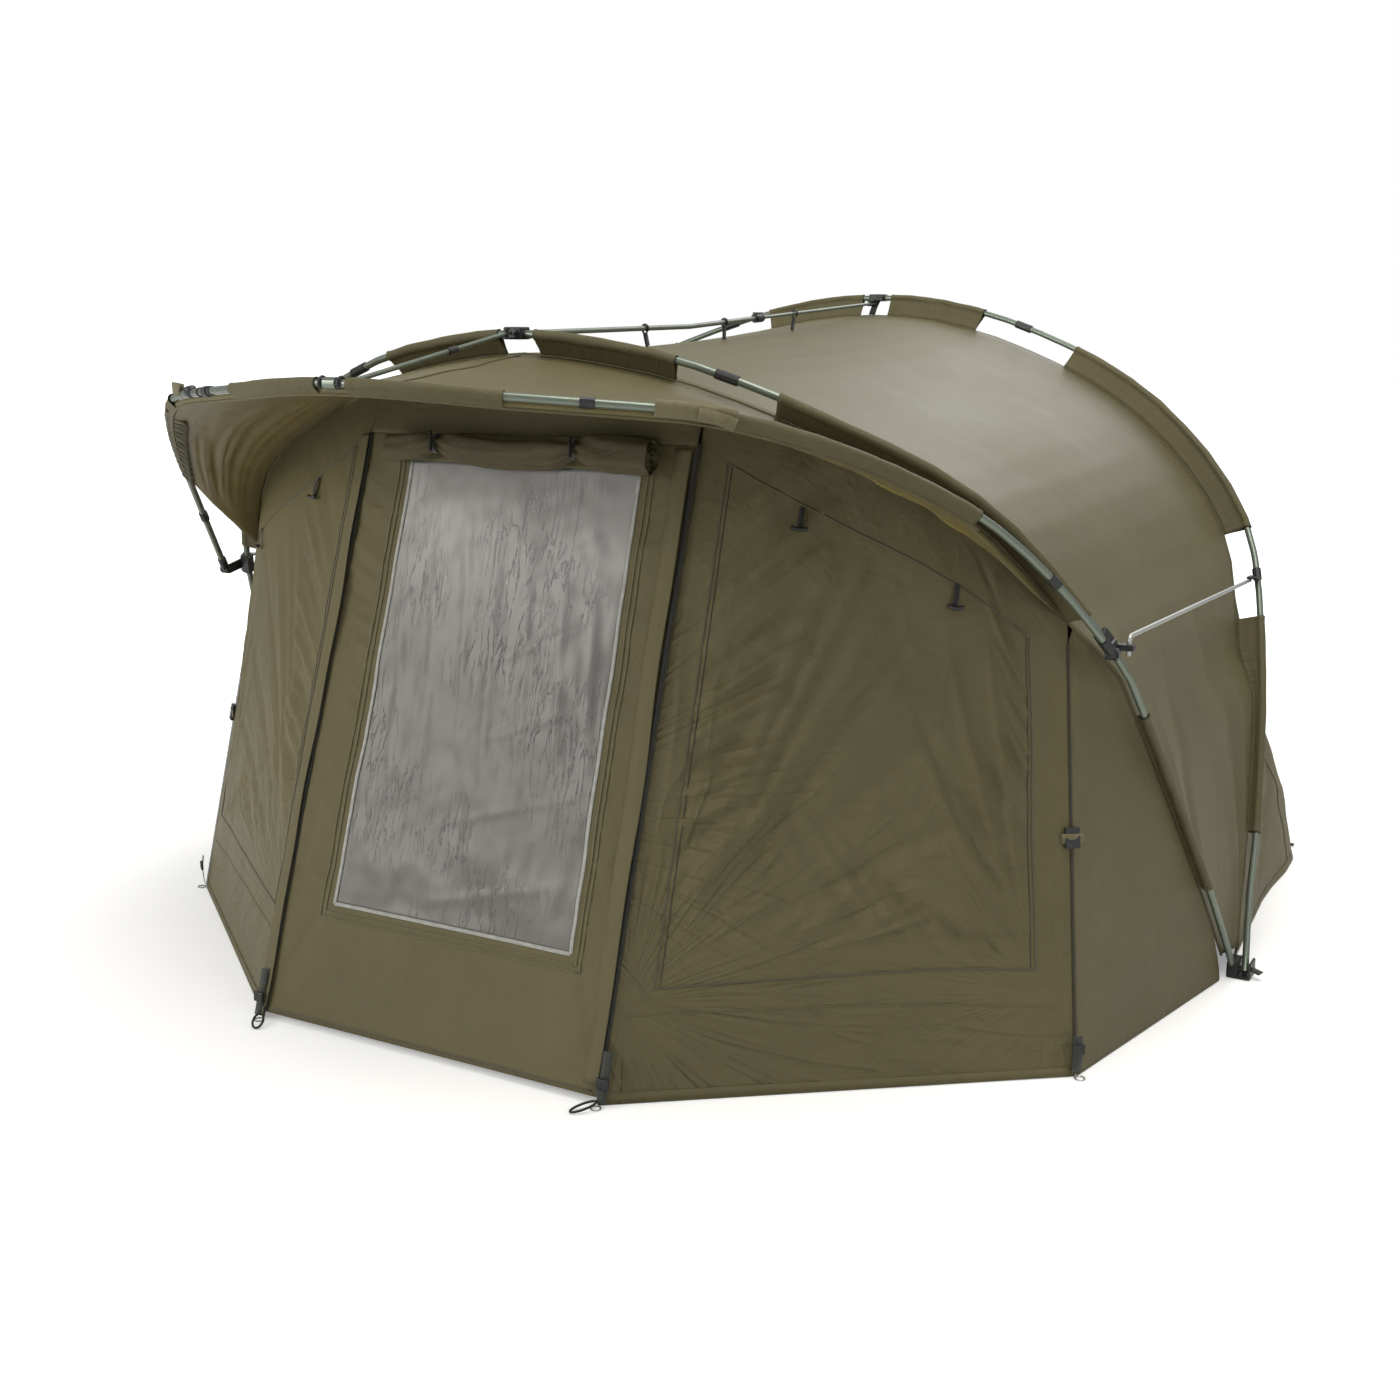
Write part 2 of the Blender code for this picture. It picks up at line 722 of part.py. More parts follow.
def storm_pole_front():
    end = storm_share(STORM_HALF_WIDTH * STORM_FRONT_COLLAR_SHARE) + JOINT_GAP / 2 / STORM.length
    pole = tube("storm_pole_front", storm_points(end, 1 - end), TUBE_RADIUS)
    ORIGINS[pole.name] = elbow_axis()


def collar_on(name, run, place, share, length, origin=None):
    """A short sleeve round a tube, centred on a share of its run."""
    half = length / 2 / run.length
    points = [place(where) for where in run.between(share - half, share + half)]
    inner = around(TUBE_RADIUS + SLIP)
    ring = tube(name, points, inner + COLLAR_WALL, inner)
    if origin is not None:
        ORIGINS[ring.name] = origin
    return ring


def collars(letter, side):
    share = side_share(FRONT.width_share(COLLAR_HALF_WIDTH), side)
    collar_on("front_rib_collar_" + letter, FRONT.run, FRONT.point, share, COLLAR_LENGTH)
    share = side_share(REAR.width_share(COLLAR_HALF_WIDTH), side)
    collar_on("rear_rib_collar_" + letter, REAR.run, REAR.point, share, COLLAR_LENGTH, foot_axis())
    for name, where in (
        ("storm_collar_", STORM_COLLAR_SHARE),
        ("storm_front_collar_", STORM_FRONT_COLLAR_SHARE),
    ):
        share = side_share(storm_share(STORM_HALF_WIDTH * where), side)
        collar_on(name + letter, STORM, STORM.at, share, STORM_COLLAR_LENGTH, elbow_axis())


def front_rib_side(letter, side):
    gap = JOINT_GAP / 2 / FRONT.run.length
    start = FRONT.rise_share(ELBOW_RISE + JOINT_GAP / 2)
    end = FRONT.width_share(COLLAR_HALF_WIDTH) - gap
    rib_tube("front_rib_side_" + letter, FRONT, side_share(start, side), side_share(end, side))


def rib_top(name, rib, origin=None):
    gap = JOINT_GAP / 2 / rib.run.length
    share = rib.width_share(COLLAR_HALF_WIDTH) + gap
    top = rib_tube(name, rib, share, 1 - share)
    if origin is not None:
        ORIGINS[top.name] = origin


# Rear collars that keep the side bars' tips: a lug covers each tip from above.
def rear_bar_collar(letter, side):
    low, high = (REAR.rise_share(rise) for rise in REAR_BAR_COLLAR_RISES)
    points = [flipped(point, side) for point in REAR.points(low, high)]
    radius = around(TUBE_RADIUS + SLIP) + COLLAR_WALL
    ring = tube("rear_bar_collar_" + letter, points, radius)
    tip = Vector(SIDE_BAR_TIP)
    floor = tip.z + SIDE_BAR_RADIUS + JOINT_GAP / 2
    inner = tip.x - SIDE_BAR_RADIUS
    lug = span_box(
        "lug",
        flipped((inner, tip.y + TUBE_RADIUS - REAR_BAR_LUG_LENGTH, floor), side),
        flipped((inner + REAR_BAR_LUG_WIDTH, points[0].y, floor + REAR_BAR_LUG_THICKNESS), side),
    )
    joined(ring, lug)
    longer = [flipped(point, side) for point in REAR.points(2 * low - high, 2 * high - low)]
    cut(ring, bore("bore", longer, TUBE_RADIUS + SLIP))
    ORIGINS[ring.name] = foot_axis()


def side_bar(letter, side):
    low, high = SIDE_BAR_PIN_Z
    pin = Vector((SIDE_BAR_PIN_X, SIDE_BAR_PIN_Y, 0.0))
    tip = Vector(SIDE_BAR_TIP)
    corner = pin + Vector((0, 0, high))
    run = (tip - corner).normalized()
    bend = 2 * SIDE_BAR_RADIUS
    points = [pin + Vector((0, 0, low)), corner - Vector((0, 0, bend))]
    for i in range(1, 4):
        t = i / 4
        start, end = corner - Vector((0, 0, bend)), corner + run * bend
        points.append(start * (1 - t) ** 2 + corner * (2 * t * (1 - t)) + end * t**2)
    points += [corner + run * bend, (corner + tip) / 2, tip]
    lean = Vector((1, 0, 0))
    bar = swept("side_bar_" + letter, [flipped(p, side) for p in points], lambda i: lean, circle(SIDE_BAR_RADIUS))
    ORIGINS[bar.name] = flipped(pin + Vector((0, 0, high)), side)


# Top: centre blocks, telescopic ridge bar and peak strut.
FRONT_TOP = FRONT.point(0.5)
REAR_TOP = REAR.point(0.5)
EYE_FLOOR = FRONT_TOP.z - EYE_HEIGHT / 2


def ear_pivot(direction):
    return Vector((0.0, FRONT_TOP.y + EAR_REACH * direction, FRONT_TOP.z))


def front_centre_block():
    block = box("front_centre_block", FRONT_TOP, FRONT_BLOCK_SIZE, bevel=BLOCK_BEVEL)
    low = EYE_FLOOR - JOINT_GAP / 2 - EAR_THICKNESS
    for direction in (1, -1):
        pivot = ear_pivot(direction)
        floor = Vector((0.0, pivot.y, low))
        ends = sorted((FRONT_TOP.y, pivot.y))
        plate = span_box(
            "plate",
            (-EAR_RADIUS, ends[0], low),
            (EAR_RADIUS, ends[1], low + EAR_THICKNESS),
        )
        disc = tube("disc", [floor, floor + Vector((0, 0, EAR_THICKNESS))], EAR_RADIUS, sides=24)
        top = Vector((0.0, pivot.y, EYE_FLOOR + EYE_HEIGHT + JOINT_GAP / 2))
        pin = tube("pin", [floor + Vector((0, 0, EAR_THICKNESS / 2)), top], PIN_RADIUS)
        head = tube(
            "head", [top - Vector((0, 0, SLIP / 2)), top + Vector((0, 0, ELBOW_HEAD_THICKNESS))], ELBOW_HEAD_RADIUS,
            sides=16,
        )
        joined(block, plate, disc, pin, head)
    reach = FRONT_BLOCK_SIZE[0] / FRONT.run.length
    cut(block, bore("bore", FRONT.points(0.5 - reach, 0.5 + reach), TUBE_RADIUS + SLIP))


def eye_on(bar, pivot):
    low = Vector((0.0, pivot.y, EYE_FLOOR))
    high = low + Vector((0, 0, EYE_HEIGHT))
    joined(bar, tube("eye", [low, high], EAR_RADIUS, sides=24))
    cut(
        bar,
        bore("hole", [low - Vector((0, 0, EYE_HEIGHT)), high + Vector((0, 0, EYE_HEIGHT))], PIN_RADIUS + PIN_SLIP),
    )


def ridge_line(y):
    """A point on the straight rear half of the ridge bar."""
    slope = (RIDGE_ROD_END_Z - RIDGE_TUBE_END_Z) / (RIDGE_ROD_END_Y - RIDGE_TUBE_END_Y)
    return Vector((0.0, y, RIDGE_TUBE_END_Z + slope * (y - RIDGE_TUBE_END_Y)))


def ridge_tube():
    pivot = ear_pivot(1)
    bend = ridge_line(RIDGE_BEND_Y)
    start = pivot + Vector((0.0, PIN_RADIUS + 2 * PIN_SLIP, 0.0))
    curve = Run([start, blend(pivot, bend, 0.5), bend, ridge_line(RIDGE_TUBE_END_Y)], 12)
    points = [point for point in curve.stations if point.y < RIDGE_BEND_Y - RIDGE_ROD_INSERT]
    points += [bend, ridge_line(RIDGE_TUBE_END_Y)]
    bar = tube("ridge_tube", points, RIDGE_TUBE_RADIUS)
    eye_on(bar, pivot)
    depth = RIDGE_TUBE_END_Y - RIDGE_ROD_INSERT - RIDGE_SLIDE - RIDGE_ROD_RADIUS
    ends = [ridge_line(depth), ridge_line(RIDGE_TUBE_END_Y + RIDGE_ROD_INSERT)]
    cut(bar, bore("bore", ends, RIDGE_BORE_RADIUS))
    ORIGINS[bar.name] = pivot


def ridge_clamp():
    middle = ridge_line(RIDGE_TUBE_END_Y)
    run = (ridge_line(RIDGE_TUBE_END_Y + 1) - middle).normalized()
    ends = [middle - run * (CLAMP_LENGTH / 2), middle + run * (CLAMP_LENGTH / 2)]
    radius = RIDGE_TUBE_RADIUS + SLIP
    ring = tube("ridge_clamp", ends, radius + CLAMP_WALL, sides=20)
    rise = Vector((0, 0, radius + CLAMP_WALL))
    lever = box("lever", middle + rise, CLAMP_LEVER_SIZE, bevel=BLOCK_BEVEL / 2)
    joined(ring, lever)
    cut(ring, bore("bore", [ends[0] - run * radius, ends[1] + run * radius], radius))
    ORIGINS[ring.name] = ear_pivot(1)


def ridge_rod():
    ends = [ridge_line(RIDGE_TUBE_END_Y - RIDGE_ROD_INSERT), ridge_line(RIDGE_ROD_END_Y)]
    rod = tube("ridge_rod", ends, RIDGE_ROD_RADIUS)
    ORIGINS[rod.name] = ends[0]


def rear_centre_block():
    wide, deep, tall = REAR_BLOCK_SIZE
    block = box("rear_centre_block", REAR_TOP, REAR_BLOCK_SIZE, bevel=BLOCK_BEVEL)
    end = ridge_line(RIDGE_ROD_END_Y)
    floor = end.z + RIDGE_ROD_RADIUS + JOINT_GAP / 2
    side = -RIDGE_ROD_RADIUS - JOINT_GAP / 2
    front = RIDGE_ROD_END_Y - deep
    lug = span_box(
        "lug",
        (side - EAR_THICKNESS, front, floor),
        (-side + EAR_THICKNESS, REAR_TOP.y, floor + EAR_THICKNESS),
    )
    cheek = span_box(
        "cheek",
        (side - EAR_THICKNESS, front, end.z - 2 * RIDGE_ROD_RADIUS),
        (side, REAR_TOP.y, floor + EAR_THICKNESS),
    )
    joined(block, lug, cheek)
    reach = wide / REAR.run.length
    cut(block, bore("bore", REAR.points(0.5 - reach, 0.5 + reach), TUBE_RADIUS + SLIP))
    ORIGINS[block.name] = foot_axis()


def peak_strut():
    pivot = ear_pivot(-1)
    tip = Vector((0.0, STRUT_TIP_Y, STRUT_TIP_Z))
    start = blend(pivot, tip, (PIN_RADIUS + 2 * PIN_SLIP) / (tip - pivot).length)
    strut = tube("peak_strut", [start, tip], STRUT_RADIUS)
    middle = blend(pivot, tip, STRUT_COLLAR_SHARE)
    run = (tip - pivot).normalized() * (STORM_COLLAR_LENGTH / 2)
    joined(strut, tube("collar", [middle - run, middle + run], STRUT_RADIUS + COLLAR_WALL))
    eye_on(strut, pivot)
    ORIGINS[strut.name] = pivot


def storm_centre_clip():
    top = STORM.at(0.5)
    radius = around(TUBE_RADIUS + SLIP) + COLLAR_WALL
    half = CLIP_WIDTH / 2
    ring = tube("storm_centre_clip", [top - Vector((half, 0, 0)), top + Vector((half, 0, 0))], radius, sides=20)
    pivot = ear_pivot(-1)
    rear = top.y + CLIP_TONGUE_REACH
    share = (rear - STRUT_TIP_Y) / (pivot.y - STRUT_TIP_Y)
    floor = STRUT_TIP_Z + (pivot.z - STRUT_TIP_Z) * share + STRUT_RADIUS + JOINT_GAP
    tongue = span_box(
        "tongue",
        (-half, top.y, floor),
        (half, rear, floor + CLIP_TONGUE_THICKNESS),
    )
    joined(ring, tongue)
    reach = CLIP_WIDTH / STORM.length
    cut(ring, bore("bore", storm_points(0.5 - reach, 0.5 + reach), TUBE_RADIUS + SLIP))
    ORIGINS[ring.name] = elbow_axis()


# Sleeves: an edge strip along the skin, with webs that rise from it and wrap the tube.
def pocket_section(depth):
    """Ring round a tube with a web down to this depth: outer and inner loops, point for point."""
    inner_radius = around(TUBE_RADIUS + SLIP, POCKET_SIDES)
    outer_radius = inner_radius + SLEEVE_WALL
    half_turn = math.asin(WEB_HALF / outer_radius)
    outer = [(depth, -WEB_HALF), (depth, WEB_HALF)]
    inner = [(inner_radius, -WEB_HALF / 2), (inner_radius, WEB_HALF / 2)]
    count = POCKET_SIDES
    for k in range(count + 1):
        turn = half_turn + (2 * math.pi - 2 * half_turn) * k / count
        outer.append((outer_radius * math.cos(turn), outer_radius * math.sin(turn)))
        inner.append((inner_radius * math.cos(turn), inner_radius * math.sin(turn)))
    return outer, inner


def strip_section(inset):
    return [
        (inset - STRIP_HALF, -STRIP_HALF), (inset + STRIP_HALF, -STRIP_HALF),
        (inset + STRIP_HALF, STRIP_HALF), (inset - STRIP_HALF, STRIP_HALF),
    ]


def varied(name, shares, point_at, frame_at, section_at):
    """A closed solid through sections that change along the run. section_at gives loops."""
    vertices, faces = [], []
    for share in shares:
        loops = section_at(share)
        inward, across = frame_at(share)
        middle = point_at(share)
        for loop in loops:
            vertices += [middle + inward * u + across * v for u, v in loop]
    hollow = len(loops) == 2
    count = len(loops[0])
    stride = count * len(loops)
    last = len(shares) - 1
    for i in range(last):
        a, b = i * stride, (i + 1) * stride
        for k in range(count):
            n = (k + 1) % count
            faces.append((a + k, a + n, b + n, b + k))
            if hollow:
                faces.append((a + count + k, b + count + k, b + count + n, a + count + n))
    end = last * stride
    if hollow:
        for k in range(count):
            n = (k + 1) % count
            faces.append((n, k, count + k, count + n))
            faces.append((end + k, end + n, end + count + n, end + count + k))
    else:
        faces.append(list(range(count))[::-1])
        faces.append([end + k for k in range(count)])
    return mesh_object(name, vertices, faces)


def rib_sleeve(name, rib, start_rise, runs, origin=None):
    def frame(share):
        return rib.inward(share), rib.out

    start = rib.rise_share(start_rise)
    shares = rib.run.between(start, 1 - start)
    strip = varied(name, shares, rib.point, frame, lambda s: [strip_section(rib.drop(s))])
    pockets = []
    for low, high in runs:
        for side in (1, -1):
            shares = rib.run.between(side_share(low, side), side_share(high, side))
            pockets.append(
                varied("pocket", shares, rib.point, frame, lambda s: pocket_section(rib.drop(s)))
            )
    joined(strip, *pockets)
    close_up(strip)
    if origin is not None:
        ORIGINS[strip.name] = origin


def front_rib_sleeve():
    low, high = (FRONT.rise_share(rise) for rise in FRONT_LEG_SLEEVE)
    side = FRONT.rise_share(FRONT_SIDE_SLEEVE_RISE)
    side_end = FRONT.width_share(FRONT_SIDE_SLEEVE_HALF_WIDTH)
    fin, fin_end = (FRONT.width_share(width) for width in FRONT_FIN_HALF_WIDTHS)
    runs = ((low, high), (side, side_end), (fin, fin_end))
    rib_sleeve("front_rib_sleeve", FRONT, SKIN_FOOT_RISE, runs)


def rear_rib_sleeve():
    low, high = (REAR.rise_share(rise) for rise in REAR_LEG_SLEEVE)
    side = REAR.rise_share(REAR_SIDE_SLEEVE_RISE)
    side_end = REAR.width_share(REAR_SIDE_SLEEVE_HALF_WIDTH)
    fin, fin_end = (REAR.width_share(width) for width in REAR_FIN_HALF_WIDTHS)
    runs = ((low, high), (side, side_end), (fin, fin_end))
    rib_sleeve("rear_rib_sleeve", REAR, SKIN_FOOT_RISE, runs, foot_axis())


def storm_sleeve():
    def frame(share):
        tangent = storm_tangent(share)
        side = (STORM_DROP - tangent * STORM_DROP.dot(tangent)).normalized()
        return side, tangent.cross(side)

    start = storm_share(STORM_SLEEVE_HALF_WIDTHS[0][0]) - 2 * TUBE_RADIUS / STORM.length
    strip = varied(
        "storm_sleeve",
        STORM.between(start, 1 - start),
        STORM.at,
        frame,
        lambda s: [strip_section(STORM_STRIP_DROP)],
    )
    pockets = []
    for wide, narrow in STORM_SLEEVE_HALF_WIDTHS:
        for side in (1, -1):
            ends = [side_share(storm_share(width), side) for width in (wide, narrow)]
            shares = STORM.between(*ends)
            pockets.append(
                varied("pocket", shares, STORM.at, frame, lambda s: pocket_section(STORM_STRIP_DROP + STRIP_HALF / 4))
            )
    joined(strip, *pockets)
    close_up(strip)
    ORIGINS[strip.name] = elbow_axis()


# Skins.
def roof():
    start_front = FRONT.rise_share(SKIN_FOOT_RISE)
    start_rear = REAR.rise_share(SKIN_FOOT_RISE)
    across, deep = 36, 5
    rows = []
    for j in range(deep + 1):
        v = j / deep
        row = []
        for i in range(across + 1):
            u = i / across
            front = FRONT.skin(start_front + (1 - 2 * start_front) * u, -SKIN_STAND_OFF)
            rear = REAR.skin(start_rear + (1 - 2 * start_rear) * u, -SKIN_STAND_OFF)
            span = (rear - front).length / (REAR_TOP - FRONT_TOP).length
            middle = blend(front, rear, v)
            centre = Vector((0.0, middle.y, middle.z * 0.45))
            inward = (centre - middle).normalized()
            ripple = 0.004 * math.sin(math.pi * v) * math.sin(26 * u + 4 * v)
            sag = ROOF_SAG * span * 4 * v * (1 - v) + ripple * span
            row.append(middle + inward * sag)
        rows.append(row)
    cloth("roof", rows)


def seam_point(side, slope):
    """A point on the door seam this far up the leaning door plane."""
    share = slope / DOOR_SEAM_TOP_SLOPE
    half = DOOR_HALF_WIDTH_FOOT + (DOOR_HALF_WIDTH_TOP - DOOR_HALF_WIDTH_FOOT) * share
    return door_point(half * side, slope)


def door_point(x, slope, out=0.0):
    y = DOOR_FOOT_Y + slope * math.sin(DOOR_LEAN) - out * math.cos(DOOR_LEAN)
    return Vector((x, y, slope * math.cos(DOOR_LEAN) + out * math.sin(DOOR_LEAN)))


def front_skin(share):
    return FRONT.skin(share, SKIN_STAND_OFF)


def side_seam(share):
    """The upright seam from the side peg at 0 to the arch at 1."""
    top = front_skin(FRONT.width_share_of_skin)
    foot = Vector((SIDE_PEG[0], SIDE_PEG[1], GROUND_CLEAR))
    return blend(foot, top, share)


def find_skin_share(rib, half_width, out):
    low, high = rib.rise_share(SKIN_FOOT_RISE), 0.5
    for _ in range(40):
        middle = (low + high) / 2
        if rib.skin(middle, out).x > half_width:
            low = middle
        else:
            high = middle
    return (low + high) / 2


FRONT.width_share_of_skin = find_skin_share(FRONT, SIDE_SEAM_HALF_WIDTH, SKIN_STAND_OFF)


FRONT.seam_share_of_skin = find_skin_share(FRONT, DOOR_HALF_WIDTH_TOP + DOOR_SEAM_GAP, SKIN_STAND_OFF)


def wall_surface(u, v):
    """The +X front wall before its folds: u from door seam to side seam, v from foot to arch."""
    foot_in = seam_point(1, 0.0) + Vector((DOOR_SEAM_GAP, 0.0, GROUND_CLEAR))
    foot_out = side_seam(0.0)
    inner, outer = FRONT.seam_share_of_skin, FRONT.width_share_of_skin
    top = front_skin(inner + (outer - inner) * u)
    return blend(blend(foot_in, foot_out, u * (1 - SEAM_GAP)), top, v)


def wall_out(u, v):
    step = 0.01
    along = wall_surface(u + step, v) - wall_surface(u, v)
    up = wall_surface(u, v + step) - wall_surface(u, v)
    out = up.cross(along).normalized()
    return out if out.y < 0 else -out


def front_wall(letter, side):
    wide, tall = 10, 10
    run = wall_surface(1.0, 0.0) - wall_surface(0.0, 0.0)
    outward = Vector((-run.y, run.x, 0.0)).normalized() * -1
    rows = []
    for j in range(tall + 1):
        v = j / tall
        row = []
        for i in range(wide + 1):
            u = i / wide
            point = wall_surface(u, v)
            waves = math.sin(math.pi * u) * math.sin(math.pi * v)
            fold = 0.007 * math.sin(9 * u + 6 * v) + 0.005 * math.sin(15 * u - 9 * v)
            row.append(point + outward * (fold * waves))
        rows.append(row)
    wall = cloth("front_wall_" + letter, rows)
    if side < 0:
        turn_over(wall)


def side_panel(letter, side):
    high = FRONT.width_share_of_skin
    low = FRONT.rise_share(SKIN_FOOT_RISE)
    wide, tall = 5, 10
    hem_end = Vector((BACK_HEM_START[0], -BACK_HEM_START[1], GROUND_CLEAR))
    nudge = Vector((SEAM_GAP * 2, SEAM_GAP, 0.0))
    rows = []
    for j in range(tall + 1):
        v = j / tall
        row = []
        seam = side_seam(v * 0.965) + nudge
        edge = front_skin(low + (high - low) * v * 0.985)
        edge = blend(hem_end, edge, min(v * tall, 1.0)) if j == 0 else edge
        for i in range(wide + 1):
            u = i / wide
            waves = math.sin(math.pi * u) * math.sin(math.pi * v)
            fold = 0.006 * math.sin(8 * u - 7 * v)
            row.append(blend(seam, edge, u) + Vector((0.55, -0.8, 0.1)) * (fold * waves))
        rows.append(row)
    panel = cloth("side_panel_" + letter, rows)
    if side < 0:
        turn_over(panel)


def rear_wall():
    start = REAR.rise_share(SKIN_FOOT_RISE)
    knots = [
        Vector((BACK_HEM_START[0], BACK_HEM_START[1])),
        Vector(((BACK_HEM_START[0] + BACK_PEG[0]) / 2, BACK_PEG[1] * 0.53)),
        Vector(BACK_PEG),
        Vector(((BACK_PEG[0] + BACK_HEM[0]) / 2, (BACK_PEG[1] + BACK_HEM[1]) / 2 + 0.012)),
        Vector(BACK_HEM),
        Vector((0.0, BACK_HEM[1] + 0.012)),
    ]
    across, tall = 32, 7
    hem = Run(mirrored(knots), across)
    rows = []
    for j in range(tall + 1):
        v = j / tall
        row = []
        for i in range(across + 1):
            u = i / across
            top = REAR.skin(start + (1 - 2 * start) * u, SKIN_STAND_OFF)
            flat = hem.at(u)
            foot = Vector((flat.x, flat.y, GROUND_CLEAR))
            waves = math.sin(math.pi * u) ** 0.5 * math.sin(math.pi * v)
            fold = 0.008 * math.sin(30 * u + 3 * v) + 0.006 * math.sin(17 * u - 5 * v)
            away = Vector((flat.x, flat.y, 0.0)).normalized()
            row.append(blend(top, foot, v) + away * (fold * waves))
        rows.append(row)
    wall = cloth("rear_wall", rows)
    ORIGINS[wall.name] = foot_axis()


def peak_canopy():
    deep = 5
    front_start = FRONT.rise_share(ELBOW_RISE + 2 * KNUCKLE_SOCKET_END)
    storm_start = storm_share(STORM_SLEEVE_HALF_WIDTHS[0][0])
    drop = STORM_STRIP_DROP
    rows = []
    for j in range(deep + 1):
        v = j / deep
        row = []
        for share in STORM.between(storm_start, 1 - storm_start):
            u = (share - storm_start) / (1 - 2 * storm_start)
            where = front_start + (1 - 2 * front_start) * u
            inset = FRONT.drop(where) - CANOPY_RAISE
            rib = FRONT.point(where, inset, 2 * SKIN_STAND_OFF)
            pole = storm_drop_point(share, drop)
            tangent = storm_tangent(share)
            lean = rib - pole
            lean = (lean - tangent * lean.dot(tangent)).normalized()
            pole = pole + lean * (STRIP_HALF + CLOTH / 2 + 2 * SLIP)
            middle = blend(pole, rib, v)
            sag = 0.008 * 4 * v * (1 - v) * (0.4 + 0.6 * abs(2 * u - 1))
            row.append(middle - Vector((0.0, 0.0, sag)))
        rows.append(row)
    canopy = cloth("peak_canopy", rows)
    ORIGINS[canopy.name] = elbow_axis()


# Door.
def door_hinge():
    return Vector((0.0, DOOR_FOOT_Y, DOOR_FOOT_SLOPE))


def door_sheet(name, low, high, half_at, out, thickness, hole=None):
    """A flat panel in the door plane, given thickness about it. half_at gives the half width."""
    points = []
    for face in (-0.5, 0.5):
        for slope in (low, high):
            for side in (-1, 1):
                points.append(door_point(half_at(slope) * side, slope, out + face * thickness))
    faces = ((0, 1, 3, 2), (4, 6, 7, 5), (0, 4, 5, 1), (2, 3, 7, 6), (0, 2, 6, 4), (1, 5, 7, 3))
    return mesh_object(name, points, faces)


def door_half(slope):
    return seam_point(1, slope).x - DOOR_SEAM_GAP


def door_panel():
    panel = door_sheet("door_panel", DOOR_FOOT_SLOPE, DOOR_TOP_SLOPE, door_half, 0.0, CLOTH)
    low, high = WINDOW_SLOPES
    hole = door_sheet("hole", low, high, lambda slope: WINDOW_HALF_WIDTH, 0.0, 6 * CLOTH)
    cut(panel, hole)
    ORIGINS[panel.name] = door_hinge()


def door_window():
    low, high = (WINDOW_SLOPES[0] + SLIP, WINDOW_SLOPES[1] - SLIP)
    sheet = door_sheet(
        "door_window", low, high, lambda slope: WINDOW_HALF_WIDTH - SLIP, 0.0, WINDOW_SHEET
    )
    ORIGINS[sheet.name] = door_hinge()


def window_cover_roll():
    out = ROLL_RADIUS + CLOTH / 2 + SLIP
    points = [
        door_point(ROLL_HALF_WIDTH * (2 * i / 6 - 1), ROLL_SLOPE, out) for i in range(7)
    ]
    roll = tube("window_cover_roll", points, ROLL_RADIUS, sides=16)
    ORIGINS[roll.name] = door_hinge()


def door_header():
    start = find_skin_share(FRONT, DOOR_HALF_WIDTH_TOP, SKIN_STAND_OFF)
    across, tall = 10, 3
    low = DOOR_TOP_SLOPE + SEAM_GAP + CLOTH
    rows = []
    for j in range(tall + 1):
        v = j / tall
        row = []
        for i in range(across + 1):
            u = i / across
            top = front_skin(start + (1 - 2 * start) * u)
            half = seam_point(1, low).x - SEAM_GAP / 2
            foot = door_point(half * (1 - 2 * u), low)
            row.append(blend(foot, top, v))
        rows.append(row)
    cloth("door_header", rows)


def door_flap():
    """A strip sewn down beside the window, its free edge standing over the +X door seam."""
    rows = []
    low, high = FLAP_SLOPES
    tall, wide = 12, 3
    for j in range(tall + 1):
        slope = low + (high - low) * j / tall
        free = seam_point(1, slope).x - FLAP_EDGE_GAP
        row = []
        for i in range(wide + 1):
            reach = i / wide
            sway = FLAP_SWAY * math.sin(2 * math.pi * j / tall) * math.sin(math.pi * reach)
            out = FLAP_SEWN + reach**2 * FLAP_STAND_OFF + sway * reach
            row.append(door_point(free - FLAP_WIDTH * (1 - reach), slope, out))
        rows.append(row)
    flap = cloth("door_flap", rows)
    ORIGINS[flap.name] = door_hinge()


def wall_buckle(letter, side):
    seam_low, seam_high = side_seam(0.0), side_seam(1.0)
    share = (BUCKLE_Z - seam_low.z) / (seam_high.z - seam_low.z)
    centre = side_seam(share)
    up = (seam_high - seam_low).normalized()
    away = Vector((0.62, -0.78, 0.0))
    out = (away - up * away.dot(up)).normalized()
    across = up.cross(out)
    wide, tall, thick = BUCKLE_SIZE
    middle = centre + out * (thick / 2 + 2 * SEAM_GAP)
    buckle = box(
        "wall_buckle_" + letter, middle, (wide, tall, thick), (across, up, out), BLOCK_BEVEL / 2
    )
    if side < 0:
        turn_over(buckle)


def zip_slider(letter, side):
    seam = seam_point(1, SLIDER_SLOPE)
    up = (seam_point(1, 1.0) - seam_point(1, 0.0)).normalized()
    door_out = door_point(0.0, 0.0, 1.0) - door_point(0.0, 0.0)
    out = (wall_out(0.0, 0.1) + door_out).normalized()
    across = up.cross(out)
    wide, thick, tall = SLIDER_SIZE
    middle = seam + out * (SLIDER_STAND_OFF)
    slider = box(
        "zip_slider_" + letter, middle, (wide, tall, thick), (across, up, out), BLOCK_BEVEL / 2
    )
    pull = box(
        "pull",
        middle + out * (thick / 2) - up * (PULL_LENGTH / 2),
        (wide / 2, PULL_LENGTH, thick / 3),
        (across, up, out),
    )
    joined(slider, pull)
    if side < 0:
        turn_over(slider)
    ORIGINS[slider.name] = flipped(middle, side)


